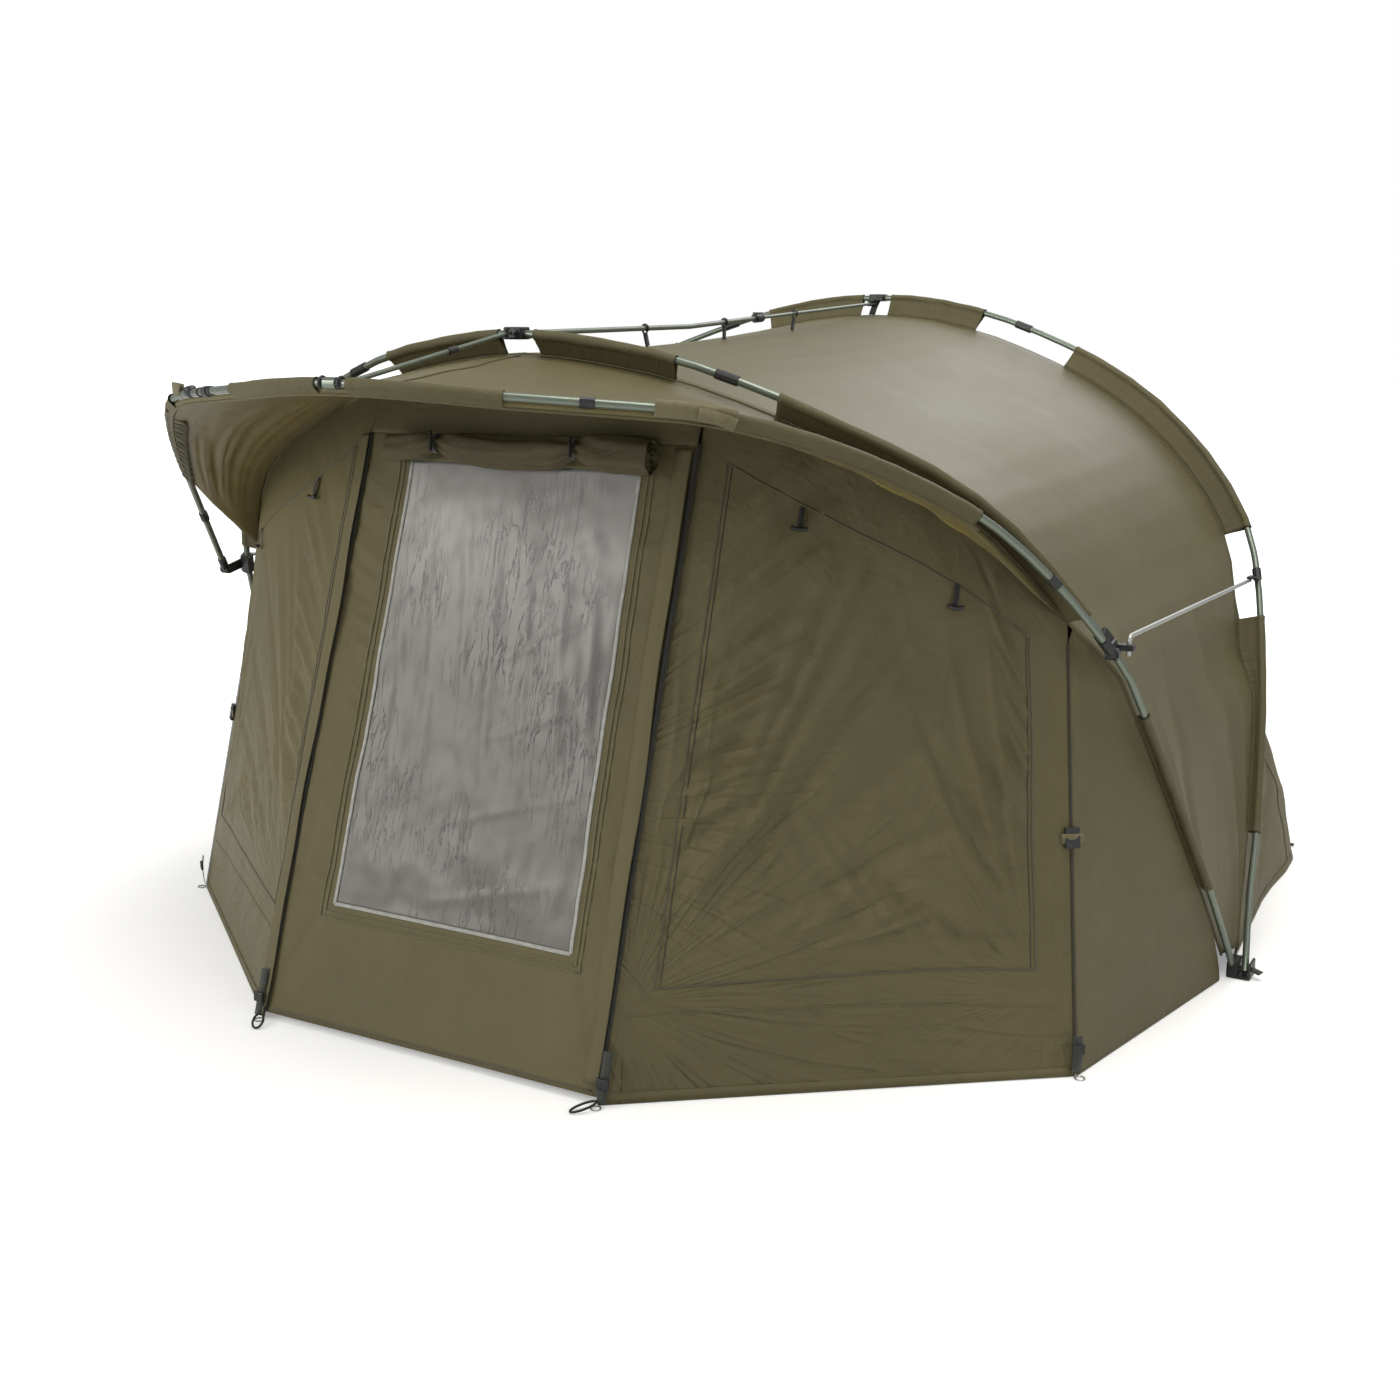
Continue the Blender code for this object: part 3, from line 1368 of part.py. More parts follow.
def peg_ring(name, corner, outward):
    """A ring lying on the ground just outside a hem corner; it tips up about its near side."""
    out = Vector((outward[0], outward[1], 0.0)).normalized()
    near = Vector((corner[0], corner[1], RING_WIRE + SLIP)) + out * (RING_WIRE + CLOTH)
    centre = near + out * RING_RADIUS
    count = 16
    vertices, faces = [], []
    for k in range(count):
        turn = 2 * math.pi * k / count
        spoke = out * math.cos(turn) + out.cross(Vector((0, 0, 1))) * math.sin(turn)
        for u, v in circle(RING_WIRE, 6):
            vertices.append(centre + spoke * (RING_RADIUS + u) + Vector((0, 0, v)))
    for k in range(count):
        for m in range(6):
            a, b = k * 6, ((k + 1) % count) * 6
            n = (m + 1) % 6
            faces.append((a + m, a + n, b + n, b + m))
    ring = mesh_object(name, vertices, faces)
    ORIGINS[ring.name] = near


def peg_rings(letter, side):
    foot = seam_point(1, 0.0)
    peg_ring("peg_ring_front_" + letter, flipped(foot, side), (0.35 * side, -1.0))
    peg_ring("peg_ring_side_" + letter, flipped(Vector((*SIDE_PEG, 0.0)), side), (0.9 * side, -0.55))


for build in (
    foot_block, front_leg, rear_leg_rib, elbow_block, storm_knuckle, storm_pole, collars,
    front_rib_side, rear_bar_collar, side_bar, front_wall, side_panel, wall_buckle, zip_slider,
    peg_rings,
):
    both(build)
for build in (
    storm_pole_front, front_centre_block, ridge_tube, ridge_clamp, ridge_rod, rear_centre_block,
    peak_strut, storm_centre_clip, front_rib_sleeve, rear_rib_sleeve, storm_sleeve, roof,
    rear_wall, peak_canopy, door_panel, door_window, window_cover_roll, door_header, door_flap,
):
    build()
rib_top("front_rib_top", FRONT)
rib_top("rear_rib_top", REAR, foot_axis())


# Materials.
FINISHES = {
    "frame_tube": ((0.19, 0.22, 0.18), 0.85, 0.38),
    "bright_bar": ((0.55, 0.56, 0.54), 0.95, 0.28),
    "black_fitting": ((0.015, 0.015, 0.016), 0.0, 0.45),
    "wall_cloth": ((0.055, 0.050, 0.026), 0.0, 0.72),
    "roof_cloth": ((0.075, 0.068, 0.038), 0.0, 0.66),
    "clear_sheet": ((0.55, 0.55, 0.52), 0.0, 0.12),
    "ring_steel": ((0.42, 0.42, 0.40), 0.95, 0.30),
}
SLOTS = (
    ("peg_ring", "ring_steel"),
    ("side_bar", "bright_bar"),
    ("ridge_tube", "bright_bar"),
    ("ridge_rod", "bright_bar"),
    ("peak_strut", "bright_bar"),
    ("door_window", "clear_sheet"),
    ("roof", "roof_cloth"),
    ("peak_canopy", "roof_cloth"),
    ("front_rib_sleeve", "roof_cloth"),
    ("rear_rib_sleeve", "roof_cloth"),
    ("storm_sleeve", "roof_cloth"),
    ("front_wall", "wall_cloth"),
    ("side_panel", "wall_cloth"),
    ("rear_wall", "wall_cloth"),
    ("door_panel", "wall_cloth"),
    ("door_header", "wall_cloth"),
    ("door_flap", "wall_cloth"),
    ("window_cover_roll", "wall_cloth"),
    ("front_leg", "frame_tube"),
    ("front_rib_side", "frame_tube"),
    ("front_rib_top", "frame_tube"),
    ("rear_rib_R", "frame_tube"),
    ("rear_rib_L", "frame_tube"),
    ("rear_rib_top", "frame_tube"),
    ("storm_pole", "frame_tube"),
    ("", "black_fitting"),
)


def paint(obj):
    slot = next(slot for prefix, slot in SLOTS if obj.name.startswith(prefix))
    base, metal, rough = FINISHES[slot]
    material = bpy.data.materials.new(obj.name + "_" + slot)
    material.use_nodes = True
    shader = material.node_tree.nodes["Principled BSDF"]
    shader.inputs["Base Color"].default_value = (*base, 1.0)
    shader.inputs["Metallic"].default_value = metal
    shader.inputs["Roughness"].default_value = rough
    obj.data.materials.clear()
    obj.data.materials.append(material)


# The origin of the part goes under the middle of its box, each moving piece's own on its axis.
def middle_y(objects):
    ends = [vertex.co.y for obj in objects for vertex in obj.data.vertices]
    return (min(ends) + max(ends)) / 2


pieces = list(bpy.context.scene.collection.objects)
middle = Vector((0.0, middle_y(pieces), 0.0))
for piece in pieces:
    paint(piece)
    own = ORIGINS.get(piece.name, middle)
    for vertex in piece.data.vertices:
        vertex.co -= own
    piece.location = own - middle
print("foot line at y =", -middle.y)
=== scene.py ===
import math

import bmesh
import bpy
from mathutils import Matrix, Vector, noise


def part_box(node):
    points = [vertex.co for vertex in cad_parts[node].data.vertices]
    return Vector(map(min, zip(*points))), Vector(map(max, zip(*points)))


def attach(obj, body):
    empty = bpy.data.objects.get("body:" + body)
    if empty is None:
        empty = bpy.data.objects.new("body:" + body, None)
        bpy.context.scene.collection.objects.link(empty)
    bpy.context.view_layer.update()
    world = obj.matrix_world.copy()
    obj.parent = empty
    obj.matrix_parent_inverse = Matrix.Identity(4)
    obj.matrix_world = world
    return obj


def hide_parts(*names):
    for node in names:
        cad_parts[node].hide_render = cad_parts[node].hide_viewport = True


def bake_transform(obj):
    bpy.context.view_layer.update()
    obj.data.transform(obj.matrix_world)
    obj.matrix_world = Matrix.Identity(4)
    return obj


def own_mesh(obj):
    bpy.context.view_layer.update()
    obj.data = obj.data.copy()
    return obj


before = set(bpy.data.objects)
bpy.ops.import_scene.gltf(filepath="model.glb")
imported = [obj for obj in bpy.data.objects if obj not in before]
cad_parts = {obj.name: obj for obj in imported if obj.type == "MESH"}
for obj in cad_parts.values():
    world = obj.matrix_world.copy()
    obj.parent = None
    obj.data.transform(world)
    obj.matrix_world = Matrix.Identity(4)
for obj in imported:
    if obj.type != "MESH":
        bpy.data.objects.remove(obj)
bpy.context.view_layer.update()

# Everything is drawn from the line between the two feet, as the tent is set out, and moved by
# this much at the end. X runs across the tent, -Y towards the door, and lengths are metres.
FOOT_LOW, FOOT_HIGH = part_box("foot_block_R")
FOOT_LINE = Vector((0.0, (FOOT_LOW.y + FOOT_HIGH.y) / 2, 0.0))

# Frame.
FOOT_HALF_SPAN = 1.5
FRONT_RISE = 1.905
REAR_RISE = 1.983
FRONT_LEAN = math.radians(32.1)
REAR_LEAN = math.radians(30.6)
FRONT_RIB_SHARES = (
    (0.9920, 0.0), (0.9773, 0.0913), (0.9627, 0.1748), (0.9273, 0.3407), (0.8893, 0.4982),
    (0.8660, 0.5696), (0.7000, 0.7827), (0.4213, 0.9181), (0.3447, 0.9423), (0.2680, 0.9659),
    (0.1453, 0.9874), (0.0, 1.0),
)
REAR_RIB_SHARES = (
    (1.0080, 0.0), (0.9920, 0.1009), (0.9833, 0.1916), (0.9527, 0.3767), (0.9060, 0.5527),
    (0.8707, 0.6283), (0.8247, 0.6858), (0.7527, 0.7514), (0.6593, 0.8174), (0.5673, 0.8664),
    (0.4680, 0.9077), (0.3473, 0.9470), (0.2527, 0.9718), (0.1220, 0.9939), (0.0, 1.0),
)
ELBOW = Vector((0.0, -0.650, 0.932))
ELBOW_RISE = 1.115
STORM_HALF_WIDTH = 1.315
STORM_REACH = 0.9955
STORM_LIFT = 0.591
STORM_POLE_SHARES = (
    (1.0, 0.0, 0.0), (0.9316, 0.1607, 0.2961), (0.8479, 0.3265, 0.5482), (0.7224, 0.5223, 0.7547),
    (0.5696, 0.7032, 0.8968), (0.3817, 0.8388, 0.9442), (0.2700, 0.9101, 0.9628),
    (0.1369, 0.9764, 0.9898), (0.0, 1.0, 1.0),
)
STORM_COLLAR_HALF_WIDTH = STORM_HALF_WIDTH * 0.3817
TUBE_RADIUS = 0.00875
RIB_STEPS = 48
STORM_STEPS = 42
COLLAR_HALF_WIDTH = 0.5175
JOIN_GAP = 0.001
REAR_TUBE_FOOT = Vector((1.511, 0.0, 0.024))
SIDE_BAR_PIN = Vector((STORM_HALF_WIDTH + 0.011, -0.572, 0.0))
SIDE_BAR_TIP = Vector((STORM_HALF_WIDTH + 0.027, 0.5375, 0.941))
SIDE_BAR_BEND = 0.016
EYE_REACH = 0.038
RIDGE_BEND = Vector((0.0, -0.220, 1.6236))
RIDGE_TUBE_END = Vector((0.0, 0.169, 1.645))
RIDGE_ROD_END = Vector((0.0, 0.985, 1.690))
STRUT_TIP = Vector((0.0, -1.616, 1.519))

# Skins.
FRONT_ARCH_DROP = 0.055
REAR_ARCH_DROP = 0.066
LEG_DROP = 0.022
FRONT_DROP_RISES = (1.00, 1.22)
REAR_DROP_RISES = (0.74, 0.92)
SKIN_STAND_OFF = 0.0032
ROOF_SAG = 0.025
GROUND_CLEAR = 0.0015
SKIN_FOOT_RISE = 0.074
STORM_STRIP_DROP = 0.024
CANOPY_RAISE = 0.002
SIDE_PEG = (1.321, -0.797)
SIDE_SEAM_HALF_WIDTH = 1.199
BACK_PEG = (1.375, 1.1975)
BACK_HEM = (0.550, 1.380)
BACK_HEM_START = (1.462, 0.064)
LEFT_WALL_SOFTNESS = 0.45
CLOTH_THICKNESS = 0.0011
SLEEVE_RADIUS = 0.0112

# Door.
DOOR_FOOT_Y = -1.4475
DOOR_LEAN = math.radians(18.7)
DOOR_HALF_WIDTH_FOOT = 0.477
DOOR_HALF_WIDTH_TOP = 0.461
DOOR_TOP_SLOPE = 1.455
DOOR_FOOT_SLOPE = 0.018
DOOR_SEAM_TOP_SLOPE = 1.582
DOOR_SEAM_GAP = 0.0006
WINDOW_SLOPES = (0.305, 1.385)
WINDOW_HALF_WIDTH = 0.322
WINDOW_SKEW = 0.030
SKEW_HALF_WIDTH = 0.47
ROLL_RADIUS = 0.033
ROLL_HALF_WIDTH = 0.372
ROLL_SLOPE = 1.427
ROLL_SINK = 0.006
ROLL_TALLNESS = 1.22
ROLL_TURNS = 3.4
TOGGLE_PLACES = (-0.227, 0.168)
FLAP_EDGE_GAP = 0.004
FLAP_WIDTH = 0.046
FLAP_SEWN = 0.0024
FLAP_STAND_OFF = 0.008
FLAP_SLOPES = (0.045, 1.440)

ACROSS = Vector((1.0, 0.0, 0.0))
BACK = Vector((0.0, 1.0, 0.0))
UP = Vector((0.0, 0.0, 1.0))
INSIDE = Vector((0.0, 0.0, 0.7))
SIDES = (("R", 1), ("L", -1))


# Curves of the frame.


def mix(first, second, share):
    return first * (1 - share) + second * share


def steps(count):
    """Shares from 0 to 1 in equal steps, both ends counted."""
    return [i / count for i in range(count + 1)]


def between(start, end, count):
    return [mix(start, end, share) for share in steps(count)]


def flipped(point, side):
    return Vector((point[0] * side, point[1], point[2]))


def heading(x, y, z, side=1):
    return Vector((x * side, y, z)).normalized()


def ease(value, low, high):
    share = min(max((value - low) / (high - low), 0.0), 1.0)
    return share * share * (3 - 2 * share)


def hump(share):
    return math.sin(math.pi * min(max(share, 0.0), 1.0))


def bell(value, middle, width):
    return math.exp(-(((value - middle) / width) ** 2))


def bow(centre, right, up, first, last, count):
    """Points on an oval round a centre, between two bearings given in half turns."""
    turns = [math.pi * bearing for bearing in between(first, last, count)]
    return [centre + right * math.cos(turn) + up * math.sin(turn) for turn in turns]


def halved(low, high, before):
    """The place between low and high where a test turns from true to false."""
    for _ in range(40):
        middle = (low + high) / 2
        low, high = (middle, high) if before(middle) else (low, middle)
    return (low + high) / 2


class Run:
    """A smooth curve through knots in straight steps, followed by a share from 0 to 1."""

    def __init__(self, knots, count):
        self.knots = knots
        self.marks = [0.0]
        for before, after in zip(knots, knots[1:]):
            self.marks.append(self.marks[-1] + (after - before).length)
        self.length = self.marks[-1]
        self.stations = [self.smooth(share) for share in steps(count)]

    def at(self, share):
        last = len(self.stations) - 1
        place = min(max(share, 0.0), 1.0) * last
        index = min(int(place), last - 1)
        return mix(self.stations[index], self.stations[index + 1], place - index)

    def slope(self, index):
        low = max(index - 1, 0)
        high = min(index + 1, len(self.knots) - 1)
        return (self.knots[high] - self.knots[low]) / (self.marks[high] - self.marks[low])

    def smooth(self, share):
        mark = min(max(share, 0.0), 1.0) * self.length
        index = 0
        while index < len(self.knots) - 2 and self.marks[index + 1] < mark:
            index += 1
        span = self.marks[index + 1] - self.marks[index]
        t = (mark - self.marks[index]) / span
        start, end = self.knots[index], self.knots[index + 1]
        return (
            start * (2 * t**3 - 3 * t**2 + 1)
            + self.slope(index) * (span * (t**3 - 2 * t**2 + t))
            + end * (3 * t**2 - 2 * t**3)
            + self.slope(index + 1) * (span * (t**3 - t**2))
        )

    def share_where(self, axis, value):
        """The share on the +X half at which one coordinate takes this value."""
        rising = self.at(0.5)[axis] > self.at(0.0)[axis]
        return halved(0.0, 0.5, lambda share: (self.at(share)[axis] < value) == rising)


def mirrored(knots):
    return knots + [Vector((-k.x,) + tuple(k[1:])) for k in reversed(knots[:-1])]


class Rib:
    """A hoop in a leaning plane through the feet. Share 0 is the +X foot, 0.5 the top."""

    def __init__(self, shares, rise, lean, facing, drop_rises, arch_drop):
        knots = [Vector((FOOT_HALF_SPAN * across, rise * up)) for across, up in shares]
        self.run = Run(mirrored(knots), RIB_STEPS)
        self.up = Vector((0.0, facing * math.sin(lean), math.cos(lean)))
        self.out = Vector((0.0, facing * math.cos(lean), -math.sin(lean)))
        self.drop_rises = drop_rises
        self.arch_drop = arch_drop
        self.start = self.rise_share(SKIN_FOOT_RISE)
        self.top = self.point(0.5)

    def rise_share(self, rise):
        return self.run.share_where(1, rise)

    def width_share(self, half_width):
        return self.run.share_where(0, half_width)

    def inward(self, share):
        step = 0.002
        flat = (self.run.at(share + step) - self.run.at(share - step)).normalized()
        return Vector((-flat.y, 0.0, 0.0)) + self.up * flat.x

    def point(self, share, inset=0.0, out=0.0):
        flat = self.run.at(share)
        middle = Vector((flat.x, 0.0, 0.0)) + self.up * flat.y
        return middle + self.inward(share) * inset + self.out * out

    def drop(self, share):
        low, high = self.drop_rises
        return LEG_DROP + (self.arch_drop - LEG_DROP) * ease(self.run.at(share).y, low, high)

    def skin(self, share, out=SKIN_STAND_OFF):
        return self.point(share, self.drop(share), out)

    def skin_from_foot(self, u, out=SKIN_STAND_OFF):
        """The skin's edge from the +X foot, at 0, to the other, at 1."""
        return self.skin(mix(self.start, 1 - self.start, u), out)

    def skin_share(self, half_width):
        return halved(self.start, 0.5, lambda share: self.skin(share).x > half_width)


FRONT = Rib(FRONT_RIB_SHARES, FRONT_RISE, FRONT_LEAN, -1, FRONT_DROP_RISES, FRONT_ARCH_DROP)
REAR = Rib(REAR_RIB_SHARES, REAR_RISE, REAR_LEAN, 1, REAR_DROP_RISES, REAR_ARCH_DROP)
STORM_KNOTS = [
    ELBOW + Vector((STORM_HALF_WIDTH * across, -STORM_REACH * forward, STORM_LIFT * up))
    for across, forward, up in STORM_POLE_SHARES
]
STORM = Run(mirrored(STORM_KNOTS), STORM_STEPS)
STORM_DROP = Vector((0.0, 0.25, -0.97))
SEAM_SHARE = FRONT.skin_share(DOOR_HALF_WIDTH_TOP + DOOR_SEAM_GAP)
SIDE_SHARE = FRONT.skin_share(SIDE_SEAM_HALF_WIDTH)
HEADER_SHARE = FRONT.skin_share(DOOR_HALF_WIDTH_TOP)


def storm_share(half_width):
    return STORM.share_where(0, half_width)


def storm_tangent(share):
    step = 0.004
    return (STORM.at(share + step) - STORM.at(share - step)).normalized()


def storm_inward(share):
    tangent = storm_tangent(share)
    return (STORM_DROP - tangent * STORM_DROP.dot(tangent)).normalized()


def storm_frame_at(share):
    inward = storm_inward(share)
    return inward, storm_tangent(share).cross(inward)


def storm_strip_drop(share):
    return STORM_STRIP_DROP


def far_share(share, side):
    return share if side > 0 else 1 - share


def ridge_point(y):
    """The ridge bar's line above the roof, bent once."""
    if y < RIDGE_BEND.y:
        start = FRONT.top + BACK * EYE_REACH
        return mix(start, RIDGE_BEND, (y - start.y) / (RIDGE_BEND.y - start.y))
    return mix(RIDGE_TUBE_END, RIDGE_ROD_END, (y - RIDGE_TUBE_END.y) / (RIDGE_ROD_END.y - RIDGE_TUBE_END.y))


# Folds. Rows of them are tables: a fan has its corner, the ends of its creases, width and height;
# pulls have their first start, stride, reach, spread, number, seed, width and height.
ROOF_FANS = (
    ((1.02, 0.98), ((0.62, 0.80), (0.60, 0.62), (0.66, 0.42)), 0.022, 0.010),
    ((1.02, 0.02), ((0.66, 0.20), (0.64, 0.36)), 0.022, 0.008),
)
WALL_FANS = (
    (
        (0.08, 0.16), ((0.62, 0.86), (0.50, 0.83), (0.72, 0.70), (0.42, 0.86), (0.80, 0.52), (0.34, 0.84)),
        0.014, 0.013,
    ),
    (
        (0.909, 0.225), ((0.56, 0.66), (0.64, 0.76), (0.50, 0.50), (0.74, 0.82), (0.44, 0.36), (0.60, 0.58)),
        0.013, 0.013,
    ),
)
WALL_PULLS = (
    ((0.075, 0.22), (0.0, 0.042), (0.22, 0.17), (0.08, 0.06), 15, 1.0, 0.012, 0.0125),
    ((0.14, 0.20), (0.040, 0.004), (0.22, 0.20), (0.16, 0.10), 9, 5.0),
    ((0.890, 0.26), (-0.001, 0.036), (-0.17, 0.15), (0.08, 0.08), 16, 9.0),
    ((0.84, 0.23), (-0.045, -0.003), (-0.18, 0.16), (0.14, 0.10), 10, 13.0),
    ((0.12, 0.13), (0.090, 0.004), (0.12, -0.07), (0.10, 0.05), 9, 17.0, 0.011, 0.003),
)
SIDE_FANS = (
    ((0.98, 0.05), ((0.12, 0.40), (0.18, 0.25), (0.10, 0.56)), 0.030, 0.006),
    ((0.02, 0.42), ((0.70, 0.30), (0.62, 0.55)), 0.026, 0.004),
)
BACK_SPREADS = (-0.30, -0.17, -0.06, 0.07, 0.19, 0.31)
BACK_FANS = [
    ((peg, 1.02), [(peg + spread, 0.10 + abs(spread)) for spread in BACK_SPREADS], 0.016, 0.011)
    for peg in (0.47, 0.86, 0.12)
]
PEAK_FANS = (((0.95, 0.5), ((0.45, 0.12), (0.40, 0.45), (0.50, 0.80)), 0.03, 0.003),)
PEAK_PULLS = (((0.97, 0.10), (-0.004, 0.060), (-0.42, -0.03), (0.10, 0.12), 14, 21.0, 0.016, 0.006),)
DOOR_FANS = (((0.98, 0.02), ((0.70, 0.20), (0.55, 0.14), (0.82, 0.42)), 0.02, 0.006),)
DOOR_PULLS = (
    ((-0.350, 0.24), (0.0, 0.052), (-0.110, 0.050), (0.03, 0.03), 22, 31.0, 0.009, 0.0036),
    ((0.352, 0.22), (0.0, 0.070), (0.060, 0.045), (0.02, 0.03), 16, 37.0, 0.009, 0.0030),
)
FAN_START = 0.12


def crease(u, v, start, end, width, height):
    """A soft ridge from start to end on a skin, highest in its middle."""
    run_u, run_v = end[0] - start[0], end[1] - start[1]
    length = math.hypot(run_u, run_v)
    along = ((u - start[0]) * run_u + (v - start[1]) * run_v) / length**2
    if along <= 0 or along >= 1:
        return 0.0
    off = ((u - start[0]) * run_v - (v - start[1]) * run_u) / length
    return height * bell(off, 0.0, width) * hump(along) ** 0.7


def fans(u, v, rows):
    """Creases that spread from corners, sharper near them."""
    total = 0.0
    for hub, ends, width, height in rows:
        for number, end in enumerate(ends):
            start = [mix(hub[axis], end[axis], FAN_START) for axis in (0, 1)]
            sign = 1 if number % 2 else -0.7
            total += sign * crease(u, v, start, end, width * (1 + 0.25 * (number % 3)), height)
    return total


def scatter(number, turn):
    """A steady stand-in for chance, from 0 to 1."""
    return 0.5 + 0.5 * math.sin(number * 12.9898 + turn * 78.233)


def pull_row(u, v, start, stride, reach, spread, count, seed, width=0.008, height=0.0068):
    """Short creases side by side, each starting a stride on from the last."""
    total = 0.0
    for number in range(count):
        first = [start[axis] + stride[axis] * number for axis in (0, 1)]
        stretch = 0.65 + 0.7 * scatter(number, seed)
        last = [
            first[axis] + reach[axis] * stretch + spread[axis] * (scatter(number, seed + 1 + axis) - 0.5)
            for axis in (0, 1)
        ]
        tall = height * (0.5 + scatter(number, seed + 3)) * (1 if number % 3 else -0.8)
        total += crease(u, v, first, last, width * (0.7 + 0.7 * scatter(number, seed + 4)), tall)
    return total


def pulls(u, v, rows):
    return sum(pull_row(u, v, *row) for row in rows)


def crumple(u, v, size, height, seed):
    return height * noise.noise(Vector((u / size, v / size, seed)))


def held(u, v, band=0.05):
    """0 on the edges of a skin, where it is sewn, and 1 away from them."""
    return ease(min(u, 1 - u), 0.0, band) * ease(min(v, 1 - v), 0.0, band)


# Surfaces of the skins, each from two shares.


def roof_surface(u, v):
    front, rear = (rib.skin_from_foot(u, -SKIN_STAND_OFF) for rib in (FRONT, REAR))
    span = (rear - front).length / (REAR.top - FRONT.top).length
    middle = mix(front, rear, v)
    inward = (Vector((0.0, middle.y, middle.z * 0.45)) - middle).normalized()
    across = abs(2 * u - 1)
    low = ease(across, 0.45, 0.85)
    wave = 0.003 * math.sin(3.2 * v + 21 * u) * low + crumple(u * 7, v * 2, 0.35, 0.003, 4.2) * low
    folds = wave * span + fans(across, v, ROOF_FANS) + crumple(u * 30, v * 9, 0.5, 0.0008, 9.1)
    sag = ROOF_SAG * span * 4 * v * (1 - v)
    return middle + inward * (sag + folds * held(u, v))


def door_point(x, slope, out=0.0):
    y = DOOR_FOOT_Y + slope * math.sin(DOOR_LEAN) - out * math.cos(DOOR_LEAN)
    return Vector((x, y, slope * math.cos(DOOR_LEAN) + out * math.sin(DOOR_LEAN)))


def seam_point(side, slope):
    half = mix(DOOR_HALF_WIDTH_FOOT, DOOR_HALF_WIDTH_TOP, slope / DOOR_SEAM_TOP_SLOPE)
    return door_point(half * side, slope)


DOOR_OUT = door_point(0, 0, 1.0) - door_point(0, 0)
DOOR_UP = door_point(0, 1.0) - door_point(0, 0)


def side_seam(share):
    return mix(Vector((*SIDE_PEG, GROUND_CLEAR)), FRONT.skin(SIDE_SHARE), share)


def wall_surface(u, v):
    foot_in = seam_point(1, 0.0) + Vector((DOOR_SEAM_GAP, 0.0, GROUND_CLEAR))
    top = FRONT.skin(mix(SEAM_SHARE, SIDE_SHARE, u))
    return mix(mix(foot_in, side_seam(0.0), u * 0.9988), top, v)


def wall_out(u, v):
    step = 0.01
    along = wall_surface(u + step, v) - wall_surface(u, v)
    up = wall_surface(u, v + step) - wall_surface(u, v)
    out = up.cross(along).normalized()
    return out if out.y < 0 else -out


def wall_point(u, v, out=0.0, side=1):
    """Place on the +X front wall. The wall on the other side is its mirror with softer folds."""
    fold = fans(u, v, WALL_FANS) + pulls(u, v, WALL_PULLS) - 0.008 * hump(u) * hump(v)
    fold += crumple(u * 3 + v, v * 3 - u, 0.55, 0.008, 2.3) + crumple(u * 9, v * 9, 0.5, 0.0022, 7.7)
    if side < 0:
        fold *= LEFT_WALL_SOFTNESS
    return wall_surface(u, v) + wall_out(u, v) * (fold * held(u, v, 0.07) + out)


def side_panel_point(u, v):
    hem_end = Vector((BACK_HEM_START[0], -BACK_HEM_START[1], GROUND_CLEAR))
    seam = side_seam(v * 0.965) + Vector((0.0024, 0.0012, 0.0))
    edge = FRONT.skin(mix(FRONT.start, SIDE_SHARE, v * 0.985))
    edge = mix(hem_end, edge, min(v * 11, 1.0))
    pull = fans(u, v, SIDE_FANS) + crumple(u * 2, v * 5, 0.6, 0.006, 5.5)
    return mix(seam, edge, u) + Vector((0.55, -0.8, 0.1)) * (pull * held(u, v, 0.09))


HEM_KNOTS = [
    Vector(BACK_HEM_START),
    Vector(((BACK_HEM_START[0] + BACK_PEG[0]) / 2, BACK_PEG[1] * 0.53)),
    Vector(BACK_PEG),
    Vector(((BACK_PEG[0] + BACK_HEM[0]) / 2, (BACK_PEG[1] + BACK_HEM[1]) / 2 + 0.012)),
    Vector(BACK_HEM),
    Vector((0.0, BACK_HEM[1] + 0.012)),
]
HEM = Run(mirrored(HEM_KNOTS), 36)


def rear_wall_point(u, v):
    flat = HEM.at(u)
    pull = fans(abs(2 * u - 1), v, BACK_FANS) + 0.012 * math.sin(21 * u + 4 * v) * hump(v)
    pull += crumple(u * 9, v * 3, 0.6, 0.012, 3.1) + crumple(u * 34, v * 9, 0.5, 0.002, 8.4)
    foot = Vector((flat.x, flat.y, GROUND_CLEAR))
    return mix(REAR.skin_from_foot(u), foot, v) + heading(flat.x, flat.y, 0.0) * (pull * held(u, v))


CANOPY_FRONT = FRONT.rise_share(ELBOW_RISE + 0.096)
CANOPY_STORM = storm_share(1.115)


def canopy_point(u, v):
    share = mix(CANOPY_STORM, 1 - CANOPY_STORM, u)
    where = mix(CANOPY_FRONT, 1 - CANOPY_FRONT, u)
    rib = FRONT.point(where, FRONT.drop(where) - CANOPY_RAISE, 2 * SKIN_STAND_OFF)
    pole = STORM.at(share) + storm_inward(share) * STORM_STRIP_DROP
    tangent = storm_tangent(share)
    lean = rib - pole
    pole = pole + (lean - tangent * lean.dot(tangent)).normalized() * 0.0030
    across = abs(2 * u - 1)
    folds = fans(across, v, PEAK_FANS) + pulls(across, v, PEAK_PULLS)
    folds += crumple(u * 12, v * 3, 0.5, 0.004, 6.6)
    sag = 0.008 * 4 * v * (1 - v) * (0.4 + 0.6 * across)
    sag += (0.010 * bell(across, 0.16, 0.09) + folds) * hump(v)
    return mix(pole, rib, v) - UP * sag


def header_point(u, v):
    low = DOOR_TOP_SLOPE - 0.006
    half = seam_point(1, low).x - DOOR_SEAM_GAP
    top = FRONT.skin(mix(HEADER_SHARE, 1 - HEADER_SHARE, u))
    return mix(door_point(half * (1 - 2 * u), low, 0.0042), top, v)


